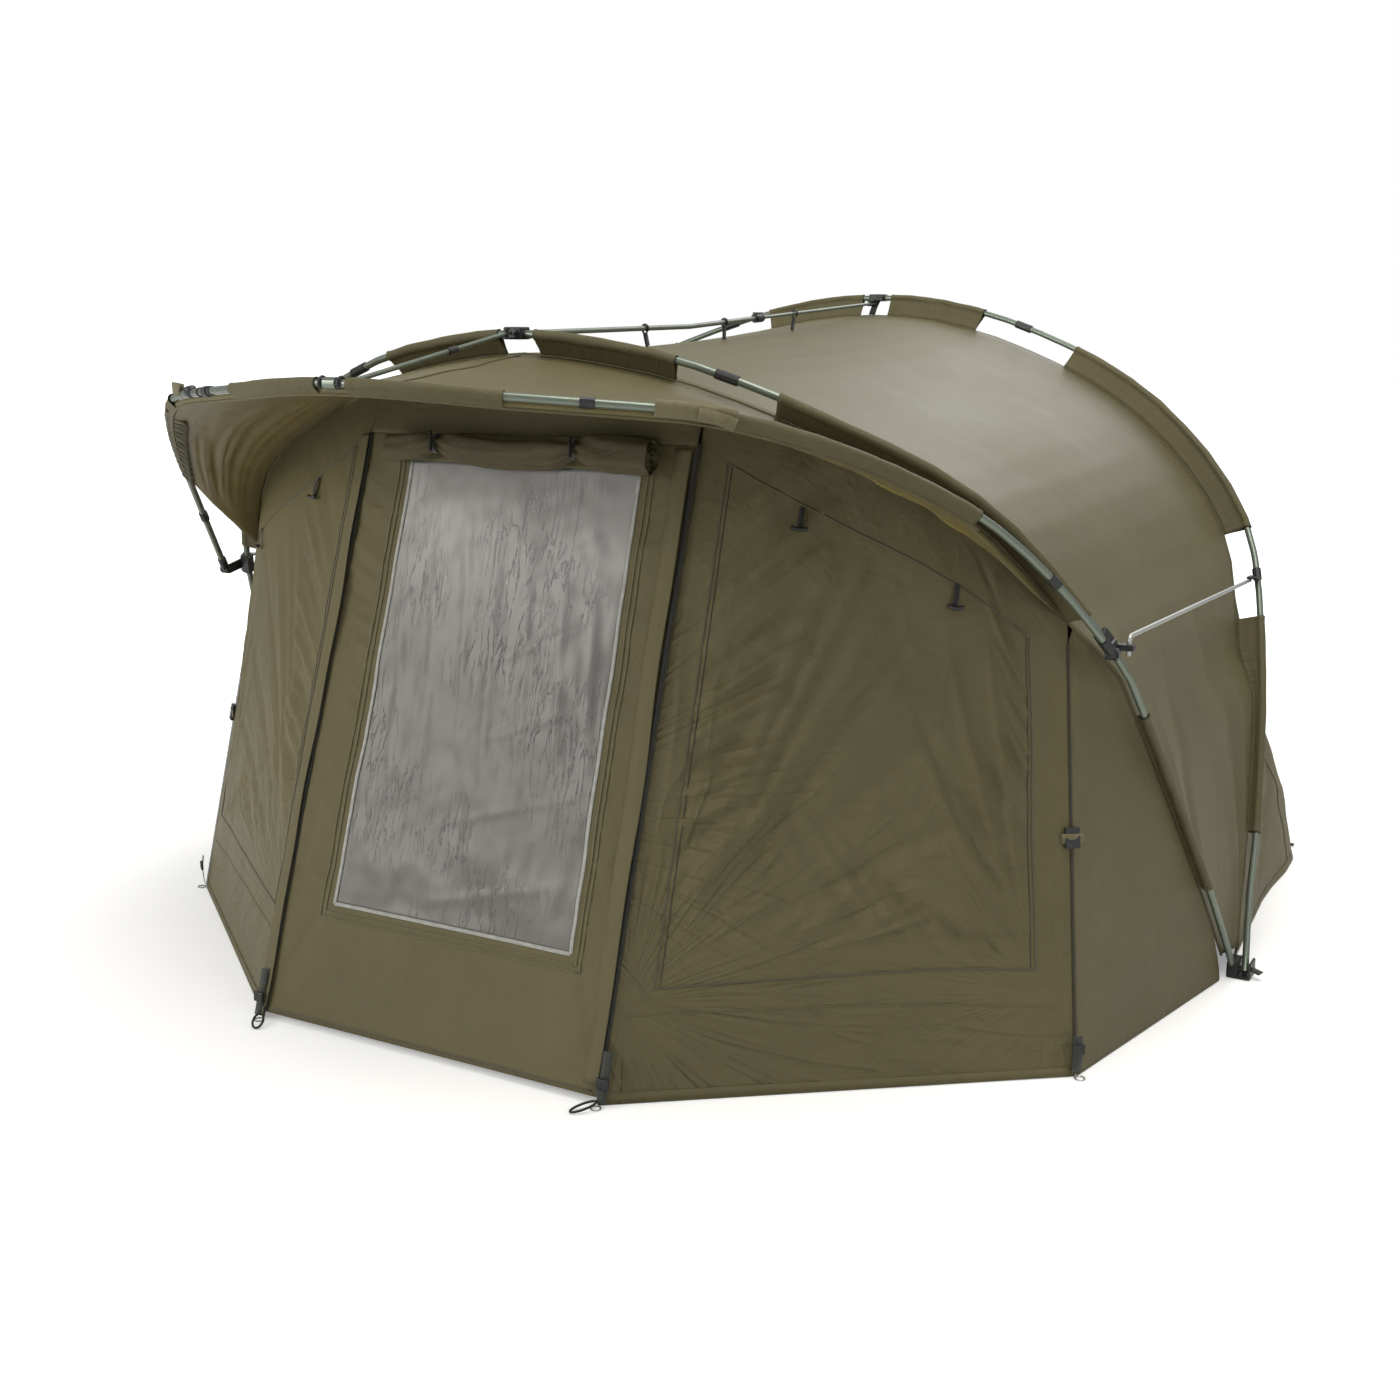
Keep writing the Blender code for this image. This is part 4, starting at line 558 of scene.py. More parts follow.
def door_fold(x, slope):
    """Soft hollows of the door between its hem and its header."""
    u, v = x + 0.5, slope / DOOR_TOP_SLOPE
    total = 0.004 * math.sin(8 * u + 5 * v) + crumple(u * 3, v * 5, 0.4, 0.005, 1.7)
    total += crumple(u * 14, v * 16, 0.5, 0.0014, 3.9)
    total += fans(abs(x) * 2, v, DOOR_FANS) + pulls(x, slope, DOOR_PULLS)
    return total * ease(min(v, 1 - v), 0.0, 0.05) * ease(0.476 - abs(x), 0.0, 0.03)


def window_fold(x, slope):
    total = crumple(x * 2 + slope, slope * 2 - x, 0.35, 0.0015, 5.1)
    total += crumple(x * 12, slope * 7, 0.5, 0.0016, 2.9)
    for step in range(7):
        start = (-0.30 + 0.09 * step, 1.34 - 0.02 * step)
        total += crease(x, slope, start, (start[0] + 0.07, 0.55 + 0.07 * (step % 3)), 0.012, 0.0022)
    for step in range(5):
        start, end = (0.30, 1.25 - 0.20 * step), (0.02 - 0.03 * step, 1.10 - 0.19 * step)
        total += crease(x, slope, start, end, 0.011, 0.002)
    edge = min(WINDOW_HALF_WIDTH - abs(x), slope - WINDOW_SLOPES[0], WINDOW_SLOPES[1] - slope)
    return total * ease(edge, 0.0, 0.05)


def window_x(x, slope):
    """X on the door, skewed as its window is sewn and straight at its seams."""
    lean = WINDOW_SKEW * (WINDOW_SLOPES[1] - slope) / (WINDOW_SLOPES[1] - WINDOW_SLOPES[0])
    if x <= 0 or x >= SKEW_HALF_WIDTH:
        return x
    if x <= WINDOW_HALF_WIDTH:
        return x + lean * x / WINDOW_HALF_WIDTH
    return x + lean * (SKEW_HALF_WIDTH - x) / (SKEW_HALF_WIDTH - WINDOW_HALF_WIDTH)


def on_door(x, slope, out=0.0):
    return door_point(window_x(x, slope), slope, door_fold(x, slope) + out)


# Materials: node groups that several finishes share.


def feed(tree, inputs, sockets):
    """Sets each named socket to a value, or feeds it from another socket."""
    for key, value in sockets.items():
        if isinstance(value, bpy.types.NodeSocket):
            tree.links.new(value, inputs[key])
        else:
            inputs[key].default_value = value


def put(tree, kind, sockets, **settings):
    node = tree.nodes.new("ShaderNode" + kind)
    for label, value in settings.items():
        setattr(node, label, value)
    feed(tree, node.inputs, sockets)
    return node.outputs


def reckon(tree, operation, first, second=0.0, third=0.0):
    return put(tree, "Math", {0: first, 1: second, 2: third}, operation=operation)[0]


def carried(tree, value, low=0.0, high=1.0, start=0.0, end=1.0, curve="LINEAR"):
    """A value carried over from one range to another."""
    ends = {0: value, 1: low, 2: high, 3: start, 4: end}
    return put(tree, "MapRange", ends, interpolation_type=curve)[0]


def clouds(tree, where, scale, detail=2.0, rough=0.5, twist=0.0):
    look = {"Vector": where, "Scale": scale, "Detail": detail, "Roughness": rough, "Distortion": twist}
    return put(tree, "TexNoise", look)[0]


def off_middle(tree, value):
    return reckon(tree, "ABSOLUTE", reckon(tree, "SUBTRACT", value, 0.5))


def open_group(name, given, wanted):
    """A node group laid on a vector. None stands for one more vector among what it is given."""
    tree = bpy.data.node_groups.new(name, "ShaderNodeTree")
    for label, value in {"Vector": None, **given}.items():
        kind = "Vector" if value is None else "Color" if isinstance(value, tuple) else "Float"
        socket = tree.interface.new_socket(label, in_out="INPUT", socket_type="NodeSocket" + kind)
        if value is not None:
            socket.default_value = value
    for label in wanted:
        kind = "NodeSocketColor" if label == "Color" else "NodeSocketFloat"
        tree.interface.new_socket(label, in_out="OUTPUT", socket_type=kind)
    return tree, tree.nodes.new("NodeGroupInput").outputs, tree.nodes.new("NodeGroupOutput").inputs


def weave_group():
    """Plain weave: threads over and under each other on a cloth laid out in metres."""
    tree, given, wanted = open_group("plain_weave", {"Threads": 900.0}, ("Height",))
    parts = put(tree, "SeparateXYZ", {0: given["Vector"]})
    turns = reckon(tree, "MULTIPLY", given["Threads"], 2 * math.pi)
    warp, weft = (reckon(tree, "SINE", reckon(tree, "MULTIPLY", parts[axis], turns)) for axis in (0, 1))
    feed(tree, wanted, {"Height": reckon(tree, "MULTIPLY_ADD", warp, weft, 0.5)})
    return tree


def crumple_group():
    """Small creases pressed into a coated cloth, from palm sized down to a fingertip."""
    tree, given, wanted = open_group("cloth_crumple", {"Per metre": 6.0}, ("Height",))
    sharp = off_middle(tree, clouds(tree, given["Vector"], given["Per metre"], 5.0, 0.55, 0.7))
    finer = clouds(tree, given["Vector"], reckon(tree, "MULTIPLY", given["Per metre"], 7.0), 3.0)
    total = reckon(tree, "MULTIPLY_ADD", finer, 0.22, reckon(tree, "MULTIPLY", sharp, -1.6))
    feed(tree, wanted, {"Height": total})
    return tree


def streak_group():
    """Sharp creases that run out from one corner of a stretched cloth."""
    settings = {"Corner": None, "Per radian": 16.0, "Reach": 1.0}
    tree, given, wanted = open_group("corner_streaks", settings, ("Height",))
    away = put(tree, "VectorMath", {0: given["Vector"], 1: given["Corner"]}, operation="SUBTRACT")[0]
    parts = put(tree, "SeparateXYZ", {0: away})
    distance = put(tree, "VectorMath", {0: away}, operation="LENGTH")["Value"]
    bearing = reckon(tree, "MULTIPLY", reckon(tree, "ARCTAN2", parts[1], parts[0]), given["Per radian"])
    laid = put(tree, "CombineXYZ", {0: bearing, 1: reckon(tree, "MULTIPLY", distance, 2.4)})[0]
    ridge = off_middle(tree, clouds(tree, laid, 1.0, 1.4, 0.5, 0.6))
    sharp = reckon(tree, "POWER", reckon(tree, "SUBTRACT", 1.0, reckon(tree, "MULTIPLY", ridge, 4.0)), 2.0)
    near = carried(tree, distance, 0.03, 0.20)
    far = carried(tree, reckon(tree, "DIVIDE", distance, given["Reach"]), 0.55, 1.0, 1.0, 0.0)
    feed(tree, wanted, {"Height": reckon(tree, "MULTIPLY", sharp, reckon(tree, "MULTIPLY", near, far))})
    return tree


def tone_group():
    """Colour that drifts between two tones, as dust and sun leave it."""
    settings = {"Per metre": 3.0, "Dark": (0, 0, 0, 1), "Light": (1, 1, 1, 1)}
    tree, given, wanted = open_group("tone_drift", settings, ("Color", "Mask"))
    mask = carried(tree, clouds(tree, given["Vector"], given["Per metre"], 6.0, 0.6), 0.32, 0.68)
    blended = put(tree, "Mix", {0: mask, 6: given["Dark"], 7: given["Light"]}, data_type="RGBA")
    feed(tree, wanted, {"Color": blended[2], "Mask": mask})
    return tree


def scuff_group():
    """Fine scratches and rubbed patches on tubes and fittings."""
    settings = {"Per metre": 120.0, "Low": 0.3, "High": 0.5}
    tree, given, wanted = open_group("scuffs", settings, ("Roughness", "Height"))
    patch = clouds(tree, given["Vector"], given["Per metre"], 4.0)
    rough = carried(tree, patch, 0.35, 0.65, given["Low"], given["High"])
    grain = clouds(tree, given["Vector"], reckon(tree, "MULTIPLY", given["Per metre"], 9.0))
    feed(tree, wanted, {"Roughness": rough, "Height": grain})
    return tree


WEAVE, CRUMPLE, STREAK = weave_group(), crumple_group(), streak_group()
TONE, SCUFF = tone_group(), scuff_group()


def open_material(name):
    material = bpy.data.materials.new(name)
    material.use_nodes = True
    tree = material.node_tree
    return material, tree, tree.nodes["Principled BSDF"].inputs


def placed(tree, group, where, **settings):
    """A shared group laid on a vector. An underscore in a setting stands for a space."""
    named = {label.replace("_", " "): value for label, value in settings.items()}
    return put(tree, "Group", {"Vector": where, **named}, node_tree=group)


def drifting(tree, where, per_metre, dark, light):
    return placed(tree, TONE, where, Per_metre=per_metre, Dark=(*dark, 1), Light=(*light, 1))


def bumped(tree, height, distance, strength=1.0):
    return put(tree, "Bump", {"Strength": strength, "Distance": distance, "Height": height})[0]


def on_cut(tree):
    """The place on a cloth as it was cut, in metres."""
    return put(tree, "UVMap", {}, uv_map="cut")[0]


def stretched(tree, where, scale):
    return put(tree, "Mapping", {"Vector": where, "Scale": scale})[0]


def cloth_finish(name, dark, light, rough, crumples, depth, shine=0.26, stretch=(1.0, 1.0, 1.0), corners=()):
    material, tree, shader = open_material(name)
    flat = on_cut(tree)
    tone = drifting(tree, flat, 1.7, dark, light)
    weave = placed(tree, WEAVE, flat, Threads=900.0)
    folds = placed(tree, CRUMPLE, stretched(tree, flat, stretch), Per_metre=crumples)
    height = reckon(tree, "MULTIPLY_ADD", weave["Height"], 0.02, folds["Height"])
    for corner, per_radian, reach, amount in corners:
        streaks = placed(tree, STREAK, flat, Corner=(*corner, 0.0), Per_radian=per_radian, Reach=reach)
        height = reckon(tree, "MULTIPLY_ADD", streaks["Height"], amount, height)
    feed(tree, shader, {
        "Base Color": tone["Color"],
        "Roughness": carried(tree, tone["Mask"], 0.0, 1.0, rough - 0.05, rough + 0.06),
        "Normal": bumped(tree, height, depth), "Sheen Weight": 0.06, "Sheen Roughness": 0.4,
        "Sheen Tint": (0.62, 0.58, 0.38, 1.0), "Specular IOR Level": shine,
    })
    return material


def roof_finish():
    """Roof cloth lets a little light through."""
    material = cloth_finish("roof_cloth", *ROOF_TONES, 0.44, 3.0, 0.0020, shine=0.38)
    tree = material.node_tree
    feed(tree, tree.nodes["Principled BSDF"].inputs, {
        "Subsurface Weight": 0.35, "Subsurface Radius": (1.0, 0.85, 0.30), "Subsurface Scale": 0.006,
    })
    return material


def hard_finish(name, dark, light, metal, low, high, per_metre, depth):
    material, tree, shader = open_material(name)
    where = put(tree, "TexCoord", {})["Object"]
    scuffs = placed(tree, SCUFF, where, Per_metre=per_metre, Low=low, High=high)
    feed(tree, shader, {
        "Base Color": drifting(tree, where, per_metre / 6, dark, light)["Color"],
        "Roughness": scuffs["Roughness"], "Metallic": metal,
    })
    if depth:
        feed(tree, shader, {"Normal": bumped(tree, scuffs["Height"], depth, 0.35)})
    return material


def webbing_finish(name, dark, light, ribs=420.0):
    """Woven tape: ribs across it and a shallow herringbone."""
    material, tree, shader = open_material(name)
    flat = on_cut(tree)
    parts = put(tree, "SeparateXYZ", {0: flat})
    slant = reckon(tree, "MULTIPLY", reckon(tree, "ABSOLUTE", parts[1]), ribs * 3)
    ribbed = reckon(tree, "SINE", reckon(tree, "MULTIPLY_ADD", parts[0], ribs * 2 * math.pi, slant))
    feed(tree, shader, {
        "Base Color": drifting(tree, flat, 40.0, dark, light)["Color"], "Roughness": 0.78,
        "Sheen Weight": 0.2, "Normal": bumped(tree, ribbed, 0.0005, 0.7),
    })
    return material


def vinyl_finish():
    """Clear window sheet with a fine crackle, painted lighter towards its top: painted light that makes up
    for the peak's shade there.
    """
    material, tree, shader = open_material("window_vinyl")
    flat = on_cut(tree)
    folds = placed(tree, CRUMPLE, stretched(tree, flat, (2.6, 0.35, 1.0)), Per_metre=6.0)
    patches = carried(tree, clouds(tree, flat, 3.6), 0.42, 0.62)
    crackle = clouds(tree, stretched(tree, flat, (2.4, 0.34, 1.0)), 17.0, 4.0, 0.65, 0.6)
    line = carried(tree, off_middle(tree, crackle), 0.0, 0.020, 1.0, 0.0)
    lines = reckon(tree, "MULTIPLY", line, patches)
    height = reckon(tree, "MULTIPLY_ADD", lines, 0.36, reckon(tree, "MULTIPLY", folds["Height"], 0.45))
    # Painted light: the colour runs from the low tone up to a lighter top tone, so the top of the window
    # looks as bright as its foot though the peak shades it.
    low = drifting(tree, flat, 2.2, (0.126, 0.122, 0.113), (0.139, 0.135, 0.125))
    top = drifting(tree, flat, 2.2, (0.276, 0.270, 0.264), (0.300, 0.294, 0.288))
    rise = put(tree, "SeparateXYZ", {0: flat})[1]
    share = carried(tree, rise, 0.55, 1.06, curve="SMOOTHSTEP")
    matt = carried(tree, low["Mask"], 0.0, 1.0, 0.34, 0.44)
    feed(tree, shader, {
        "Base Color": put(tree, "Mix", {0: share, 6: low["Color"], 7: top["Color"]}, data_type="RGBA")[2],
        "Roughness": reckon(tree, "MULTIPLY_ADD", lines, -0.20, matt), "Alpha": 0.94,
        "Normal": bumped(tree, height, 0.0021), "Specular IOR Level": 0.42,
    })
    return material


WALL_TONES = (0.103, 0.089, 0.041), (0.127, 0.110, 0.052)
ROOF_TONES = (0.099, 0.086, 0.041), (0.118, 0.104, 0.050)
BLACK_TONES = (0.010, 0.010, 0.011), (0.020, 0.020, 0.021)
CORD_TONES = (0.012, 0.012, 0.012), (0.030, 0.030, 0.030)
CORNER_STREAKS = (
    ((0.02, 0.20), 8.0, 1.25, 1.0), ((0.93, 0.26), 8.0, 0.80, 0.40), ((-0.25, 0.55), 12.0, 0.95, 0.7),
)
WALL = cloth_finish("wall_cloth", *WALL_TONES, 0.50, 7.0, 0.0045)
WALL_R = cloth_finish("front_wall_cloth_R", *WALL_TONES, 0.47, 7.0, 0.0050, corners=CORNER_STREAKS)
WALL_L = cloth_finish("front_wall_cloth_L", *WALL_TONES, 0.47, 7.0, 0.0018, corners=CORNER_STREAKS)
ROOF = roof_finish()
SLEEVE_TONES = (0.090, 0.078, 0.037), (0.114, 0.099, 0.048)
SLEEVE = cloth_finish("sleeve_cloth", *SLEEVE_TONES, 0.50, 11.0, 0.0035, stretch=(2.2, 0.6, 1.0))
ROLL = cloth_finish("cover_cloth", (0.070, 0.059, 0.028), (0.116, 0.098, 0.049), 0.46, 9.0, 0.006)
SEAM = webbing_finish("sewn_seam", (0.070, 0.061, 0.032), (0.092, 0.080, 0.044))
# A dark band of painted shade, laid along seams where their gaps and folds shade the cloth.
SHADE = webbing_finish("painted_seam_shade", (0.022, 0.019, 0.010), (0.034, 0.030, 0.017))
TAPE = webbing_finish("window_tape", (0.110, 0.097, 0.036), (0.145, 0.128, 0.052))
WEB_KHAKI = webbing_finish("khaki_webbing", (0.120, 0.103, 0.046), (0.158, 0.139, 0.066))
WEB_BLACK = webbing_finish("black_webbing", (0.008, 0.008, 0.008), (0.018, 0.018, 0.017))
WEB_DARK = webbing_finish("dark_webbing", (0.022, 0.026, 0.020), (0.036, 0.040, 0.030))
WELD = webbing_finish("welded_edge", (0.30, 0.30, 0.27), (0.44, 0.44, 0.41), 250.0)
VINYL = vinyl_finish()
TUBE = hard_finish("pole_enamel", (0.175, 0.205, 0.170), (0.200, 0.230, 0.190), 0.70, 0.30, 0.40, 30.0, 0.0)
BRIGHT = hard_finish("bright_alloy", (0.46, 0.47, 0.45), (0.54, 0.55, 0.53), 0.80, 0.38, 0.46, 12.0, 0.0)
BLACK = hard_finish("black_moulding", *BLACK_TONES, 0.0, 0.34, 0.50, 160.0, 0.0003)
STEEL = hard_finish("ring_steel", (0.36, 0.36, 0.34), (0.50, 0.50, 0.48), 0.95, 0.22, 0.40, 120.0, 0.0001)
CORD = hard_finish("bungee_cord", *CORD_TONES, 0.0, 0.55, 0.75, 300.0, 0.0006)

# The slot of looks listed for each finish. place looks one up where its call names no other, but does not
# give it to the piece.
SLOTS = {
    material.name: slot
    for slot, materials in (
        ("wall_cloth", (WALL, WALL_R, WALL_L, ROLL, SEAM, SHADE, TAPE)),
        ("roof_cloth", (ROOF, SLEEVE, WEB_KHAKI)),
        ("clear_sheet", (VINYL, WELD)),
        ("frame_tube", (TUBE,)),
        ("bright_bar", (BRIGHT,)),
        ("black_fitting", (BLACK, CORD, WEB_BLACK, WEB_DARK)),
    )
    for material in materials
}


# Pieces: a bmesh becomes an object in the tent's own place, riding on a body.


def linked(name, data):
    obj = bpy.data.objects.new(name, data)
    bpy.context.scene.collection.objects.link(obj)
    return obj


def meshed(name, work, material):
    mesh = bpy.data.meshes.new(name)
    work.to_mesh(mesh)
    work.free()
    mesh.materials.append(material)
    return linked(name, mesh)


def place(name, work, material, body, nodes=(), thickness=0.0, offset=0.0, slot=None):
    bmesh.ops.translate(work, verts=work.verts, vec=FOOT_LINE)
    obj = meshed(name, work, material)
    obj.data.polygons.foreach_set("use_smooth", [True] * len(obj.data.polygons))
    if thickness:
        wall = obj.modifiers.new("Thickness", "SOLIDIFY")
        wall.thickness = thickness
        wall.offset = offset
    slot or SLOTS[material.name]
    if nodes:
        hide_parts(*nodes)
    if body:
        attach(obj, body)
    return obj


def grid(across, up, surface, wide, tall, side=1):
    """A sheet of across by up cells laid on a surface of two shares, with its cut kept as a UV map."""
    work = bmesh.new()
    cut = work.loops.layers.uv.new("cut")
    bmesh.ops.create_grid(work, x_segments=across, y_segments=up, size=0.5)
    for face in work.faces:
        for loop in face.loops:
            loop[cut].uv = ((loop.vert.co.x + 0.5) * wide, (loop.vert.co.y + 0.5) * tall)
    for vertex in work.verts:
        vertex.co = flipped(surface(vertex.co.x + 0.5, vertex.co.y + 0.5), side)
    return work


def turned_out(work, away=INSIDE):
    """Turns a sheet so that its faces look away from a point."""
    work.normal_update()
    total = 0.0
    for face in work.faces:
        total += face.normal.dot(face.calc_center_median() - away) * face.calc_area()
    if total < 0:
        bmesh.ops.reverse_faces(work, faces=work.faces)
    return work


def cloth(name, work, material, body, nodes, thickness=CLOTH_THICKNESS):
    """A cloth panel, its faces turned out from the tent's inside."""
    turned_out(work)
    area = sum(face.calc_area() for face in work.faces)
    obj = place(name, work, material, body, nodes, thickness)
    return obj


def band(name, points, outs, width, material, body="front_frame", thickness=0.0012, slot=None):
    """A flat band along points, its face turned to outs: one direction, or one for each point."""
    last = len(points) - 1
    length = sum((after - before).length for before, after in zip(points, points[1:]))
    if isinstance(outs, Vector):
        outs = [outs] * len(points)

    def surface(u, v):
        place_at = u * last
        index = min(int(place_at + 1e-6), last - 1)
        share = place_at - index
        out = mix(outs[index], outs[index + 1], share).normalized()
        before, after = points[max(index - 1, 0)], points[min(index + 2, last)]
        side = (after - before).normalized().cross(out).normalized()
        return mix(points[index], points[index + 1], share) + side * ((v - 0.5) * width)

    work = grid(last, 2, surface, length, width)
    cut = work.loops.layers.uv["cut"]
    for face in work.faces:
        for loop in face.loops:
            loop[cut].uv.y -= width / 2
    return place(name, work, material, body, (), thickness, slot=slot)


def loft(across, around, surface, length, girth):
    """A tube laid on a surface that closes on itself in its second share."""
    work = grid(across, around, surface, length, girth)
    bmesh.ops.remove_doubles(work, verts=work.verts, dist=0.00002)
    bmesh.ops.recalc_face_normals(work, faces=work.faces)
    return work


def rod(name, points, radius, material, body="front_frame", nodes=(), sides=20, bore=0.0, slot=None):
    """A round rod or tube along points, capped, or hollow where it has a bore."""
    last = len(points) - 1
    run = (points[-1] - points[0]).normalized()
    lean = min((ACROSS, BACK, UP), key=lambda axis: abs(run.dot(axis)))
    work = bmesh.new()
    rings = []
    for index, point in enumerate(points):
        tangent = (points[min(index + 1, last)] - points[max(index - 1, 0)]).normalized()
        side = (lean - tangent * lean.dot(tangent)).normalized()
        turn = Matrix((side, tangent.cross(side), tangent)).transposed().to_4x4()
        turn.translation = point
        made = bmesh.ops.create_circle(work, cap_ends=False, segments=sides, radius=radius, matrix=turn)
        rings.append(list({edge for vertex in made["verts"] for edge in vertex.link_edges}))
    for before, after in zip(rings, rings[1:]):
        bmesh.ops.bridge_loops(work, edges=before + after)
    if not bore:
        bmesh.ops.holes_fill(work, edges=work.edges, sides=sides)
    bmesh.ops.recalc_face_normals(work, faces=work.faces)
    obj = place(name, work, material, body, nodes, bore, -1.0, slot)
    obj.modifiers.new("Soft edges", "EDGE_SPLIT").split_angle = math.radians(50)
    return obj


def block(name, centre, size, axes, bevel, body="front_frame"):
    """A black moulded block with rounded edges, turned to three axes."""
    work = bmesh.new()
    bmesh.ops.create_cube(work, size=1.0)
    bmesh.ops.scale(work, verts=work.verts, vec=size)
    bmesh.ops.bevel(work, geom=work.edges[:], offset=bevel, segments=3, profile=0.5, affect="EDGES")
    turn = Matrix(axes).transposed().to_4x4()
    turn.translation = centre
    bmesh.ops.transform(work, verts=work.verts, matrix=turn)
    if Matrix(axes).determinant() < 0:
        bmesh.ops.reverse_faces(work, faces=work.faces)
    return place(name, work, BLACK, body)


def axes_on(out, along):
    """Three axes for a small piece: across, along, and away from what it sits on."""
    out = out.normalized()
    along = (along - out * along.dot(out)).normalized()
    return along.cross(out), along, out


def gather(piece):
    """Gives the rear wall, and each piece sewn to it, a mesh of its own."""
    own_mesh(piece)


def with_roof(piece):
    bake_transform(piece)


def with_peak(piece):
    """The peak piece, with its place baked into its mesh."""
    to_rib, to_pole = FRONT.top - ELBOW, STORM.at(0.5) - ELBOW
    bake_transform(piece)


# Frame tubes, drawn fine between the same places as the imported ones.


def poles():
    gap, rear_gap = JOIN_GAP / 2 / FRONT.run.length, JOIN_GAP / 2 / REAR.run.length
    elbow, collar = FRONT.rise_share(ELBOW_RISE), FRONT.width_share(COLLAR_HALF_WIDTH)
    rear_foot, rear_collar = REAR.rise_share(REAR_TUBE_FOOT.z), REAR.width_share(COLLAR_HALF_WIDTH)
    storm_foot, storm_collar = 0.021 / STORM.length, storm_share(STORM_COLLAR_HALF_WIDTH)
    for name, node, curve, start, end, count, body in (
        ("front_leg_", "front_leg_", FRONT.point, FRONT.rise_share(0.030), elbow - gap, 40, "front_frame"),
        ("front_rib_side_", "front_rib_side_", FRONT.point, elbow + gap, collar - gap, 40, "front_frame"),
        ("storm_", "storm_pole_", STORM.at, storm_foot, storm_collar - gap, 60, "storm_frame"),
        ("rear_rib_", "rear_rib_", REAR.point, rear_foot, rear_collar - rear_gap, 70, "rear_frame"),
    ):
        points = [curve(share) for share in between(start, end, count)]
        if node == "rear_rib_":
            points[0] = REAR_TUBE_FOOT - (points[1] - points[0]).normalized() * 0.012
        for letter, side in SIDES:
            run = [flipped(point, side) for point in points]
            rod("pole_" + name + letter, run, TUBE_RADIUS, TUBE, body, (node + letter,))
    for name, node, curve, start, count, body in (
        ("front_rib_top", "front_rib_top", FRONT.point, collar, 60, "front_frame"),
        ("rear_rib_top", "rear_rib_top", REAR.point, rear_collar, 60, "rear_frame"),
        ("storm_front", "storm_pole_front", STORM.at, storm_collar, 40, "storm_frame"),
    ):
        points = [curve(share) for share in between(start + gap, 1 - start - gap, count)]
        rod("pole_" + name, points, TUBE_RADIUS, TUBE, body, (node,))


def bars():
    """The side bars, the ridge bar with its sliding rod, and the peak strut."""
    corner = SIDE_BAR_PIN + UP * 0.960
    run = (SIDE_BAR_TIP - corner).normalized()
    first, last = corner - UP * SIDE_BAR_BEND, corner + run * SIDE_BAR_BEND
    points = [SIDE_BAR_PIN + UP * 0.916, SIDE_BAR_PIN + UP * 0.930]
    points += [first * (1 - t) ** 2 + corner * (2 * t * (1 - t)) + last * t**2 for t in steps(10)[:-1]]
    points += between(last, SIDE_BAR_TIP, 20)
    for letter, side in SIDES:
        bent = [flipped(point, side) for point in points]
        rod("bright_side_bar_" + letter, bent, 0.0055, BRIGHT, "side_bar_" + letter, ("side_bar_" + letter,))
    start, pivot = (FRONT.top + BACK * reach for reach in (EYE_REACH, -EYE_REACH))
    tube = between(start, ridge_point(RIDGE_BEND.y), 14)[:-1]
    tube += [ridge_point(y) for y in between(RIDGE_BEND.y, RIDGE_TUBE_END.y, 14)]
    slide = [ridge_point(y + JOIN_GAP) for y in between(RIDGE_TUBE_END.y, RIDGE_ROD_END.y, 20)]
    for name, run, radius, body, bore in (
        ("ridge_tube", tube, 0.0065, "ridge_bar", 0.0012), ("ridge_rod", slide, 0.0050, "ridge_rod", 0.0),
        ("peak_strut", between(pivot, STRUT_TIP, 20), 0.0055, "peak_strut", 0.0),
    ):
        rod("bright_" + name, run, radius, TUBE, body, (name,), 24, bore, "bright_bar")
    middle, run = mix(pivot, STRUT_TIP, 0.36), (STRUT_TIP - pivot).normalized()
    for name, centre, half, radius, body, sides in (
        ("peak_strut_collar", middle, run * 0.015, 0.0080, "peak_strut", 24),
        ("ridge_eye", start, UP * 0.004, 0.0110, "ridge_bar", 28),
        ("strut_eye", pivot, UP * 0.004, 0.0110, "peak_strut", 28),
    ):
        rod(name, [centre - half, centre + half], radius, BLACK, body, (), sides)


# Sleeves: cloth wrapped round a tube and sewn to the skin below it.


WEB_START = 0.62


def pocket_ring(turn, depth, radius):
    """Place in the section of a pocket: turn from 0 at one edge of the web, round the tube, to 1."""
    reach = abs(2 * turn - 1)
    sign = 1 if turn > 0.5 else -1
    angle = math.pi * 0.80 * min(reach / WEB_START, 1.0)
    inward, across = -radius * math.cos(angle), radius * math.sin(angle)
    web = max((reach - WEB_START) / (1 - WEB_START), 0.0)
    return mix(inward, depth, web), sign * mix(across, 0.0016, ease(web, 0.0, 0.75))


def pocket(name, low, high, place_at, frame_at, depth_at, body, seed, count=90):
    def surface(u, v):
        share = mix(low, high, u)
        inward, across = frame_at(share)
        ripple = 1 + 0.10 * noise.noise(Vector((u * abs(high - low) * 90, v * 5, seed)))
        ripple += 0.10 * noise.noise(Vector((u * 4, v * 9, seed + 3)))
        ends = 1 + 0.10 * (1 - ease(min(u, 1 - u), 0.0, 0.02))
        inset, sideways = pocket_ring(v, depth_at(share), SLEEVE_RADIUS * ripple * ends)
        return place_at(share) + inward * inset + across * sideways

    work = grid(count, 26, surface, (place_at(high) - place_at(low)).length * 1.05, 0.16)
    return place(name, turned_out(work, place_at((low + high) / 2)), SLEEVE, body, (), 0.0009)


def binding(name, start, place_at, frame_at, depth_at, body, nodes, count=200):
    """The rolled hem that joins the skins along a hoop or pole, from foot to foot."""

    def surface(u, v):
        share = mix(start, 1 - start, u)
        inward, across = frame_at(share)
        turn = 2 * math.pi * v
        thick = 0.0030 + 0.0003 * math.sin(u * 900)
        inset = depth_at(share) + 0.0034 * math.cos(turn)
        return place_at(share) + inward * inset + across * (thick * math.sin(turn))

    work = loft(count, 10, surface, 4.0, 0.04)
    bmesh.ops.holes_fill(work, edges=work.edges, sides=12)
    bmesh.ops.recalc_face_normals(work, faces=work.faces)
    return place(name, work, SLEEVE, body, nodes)


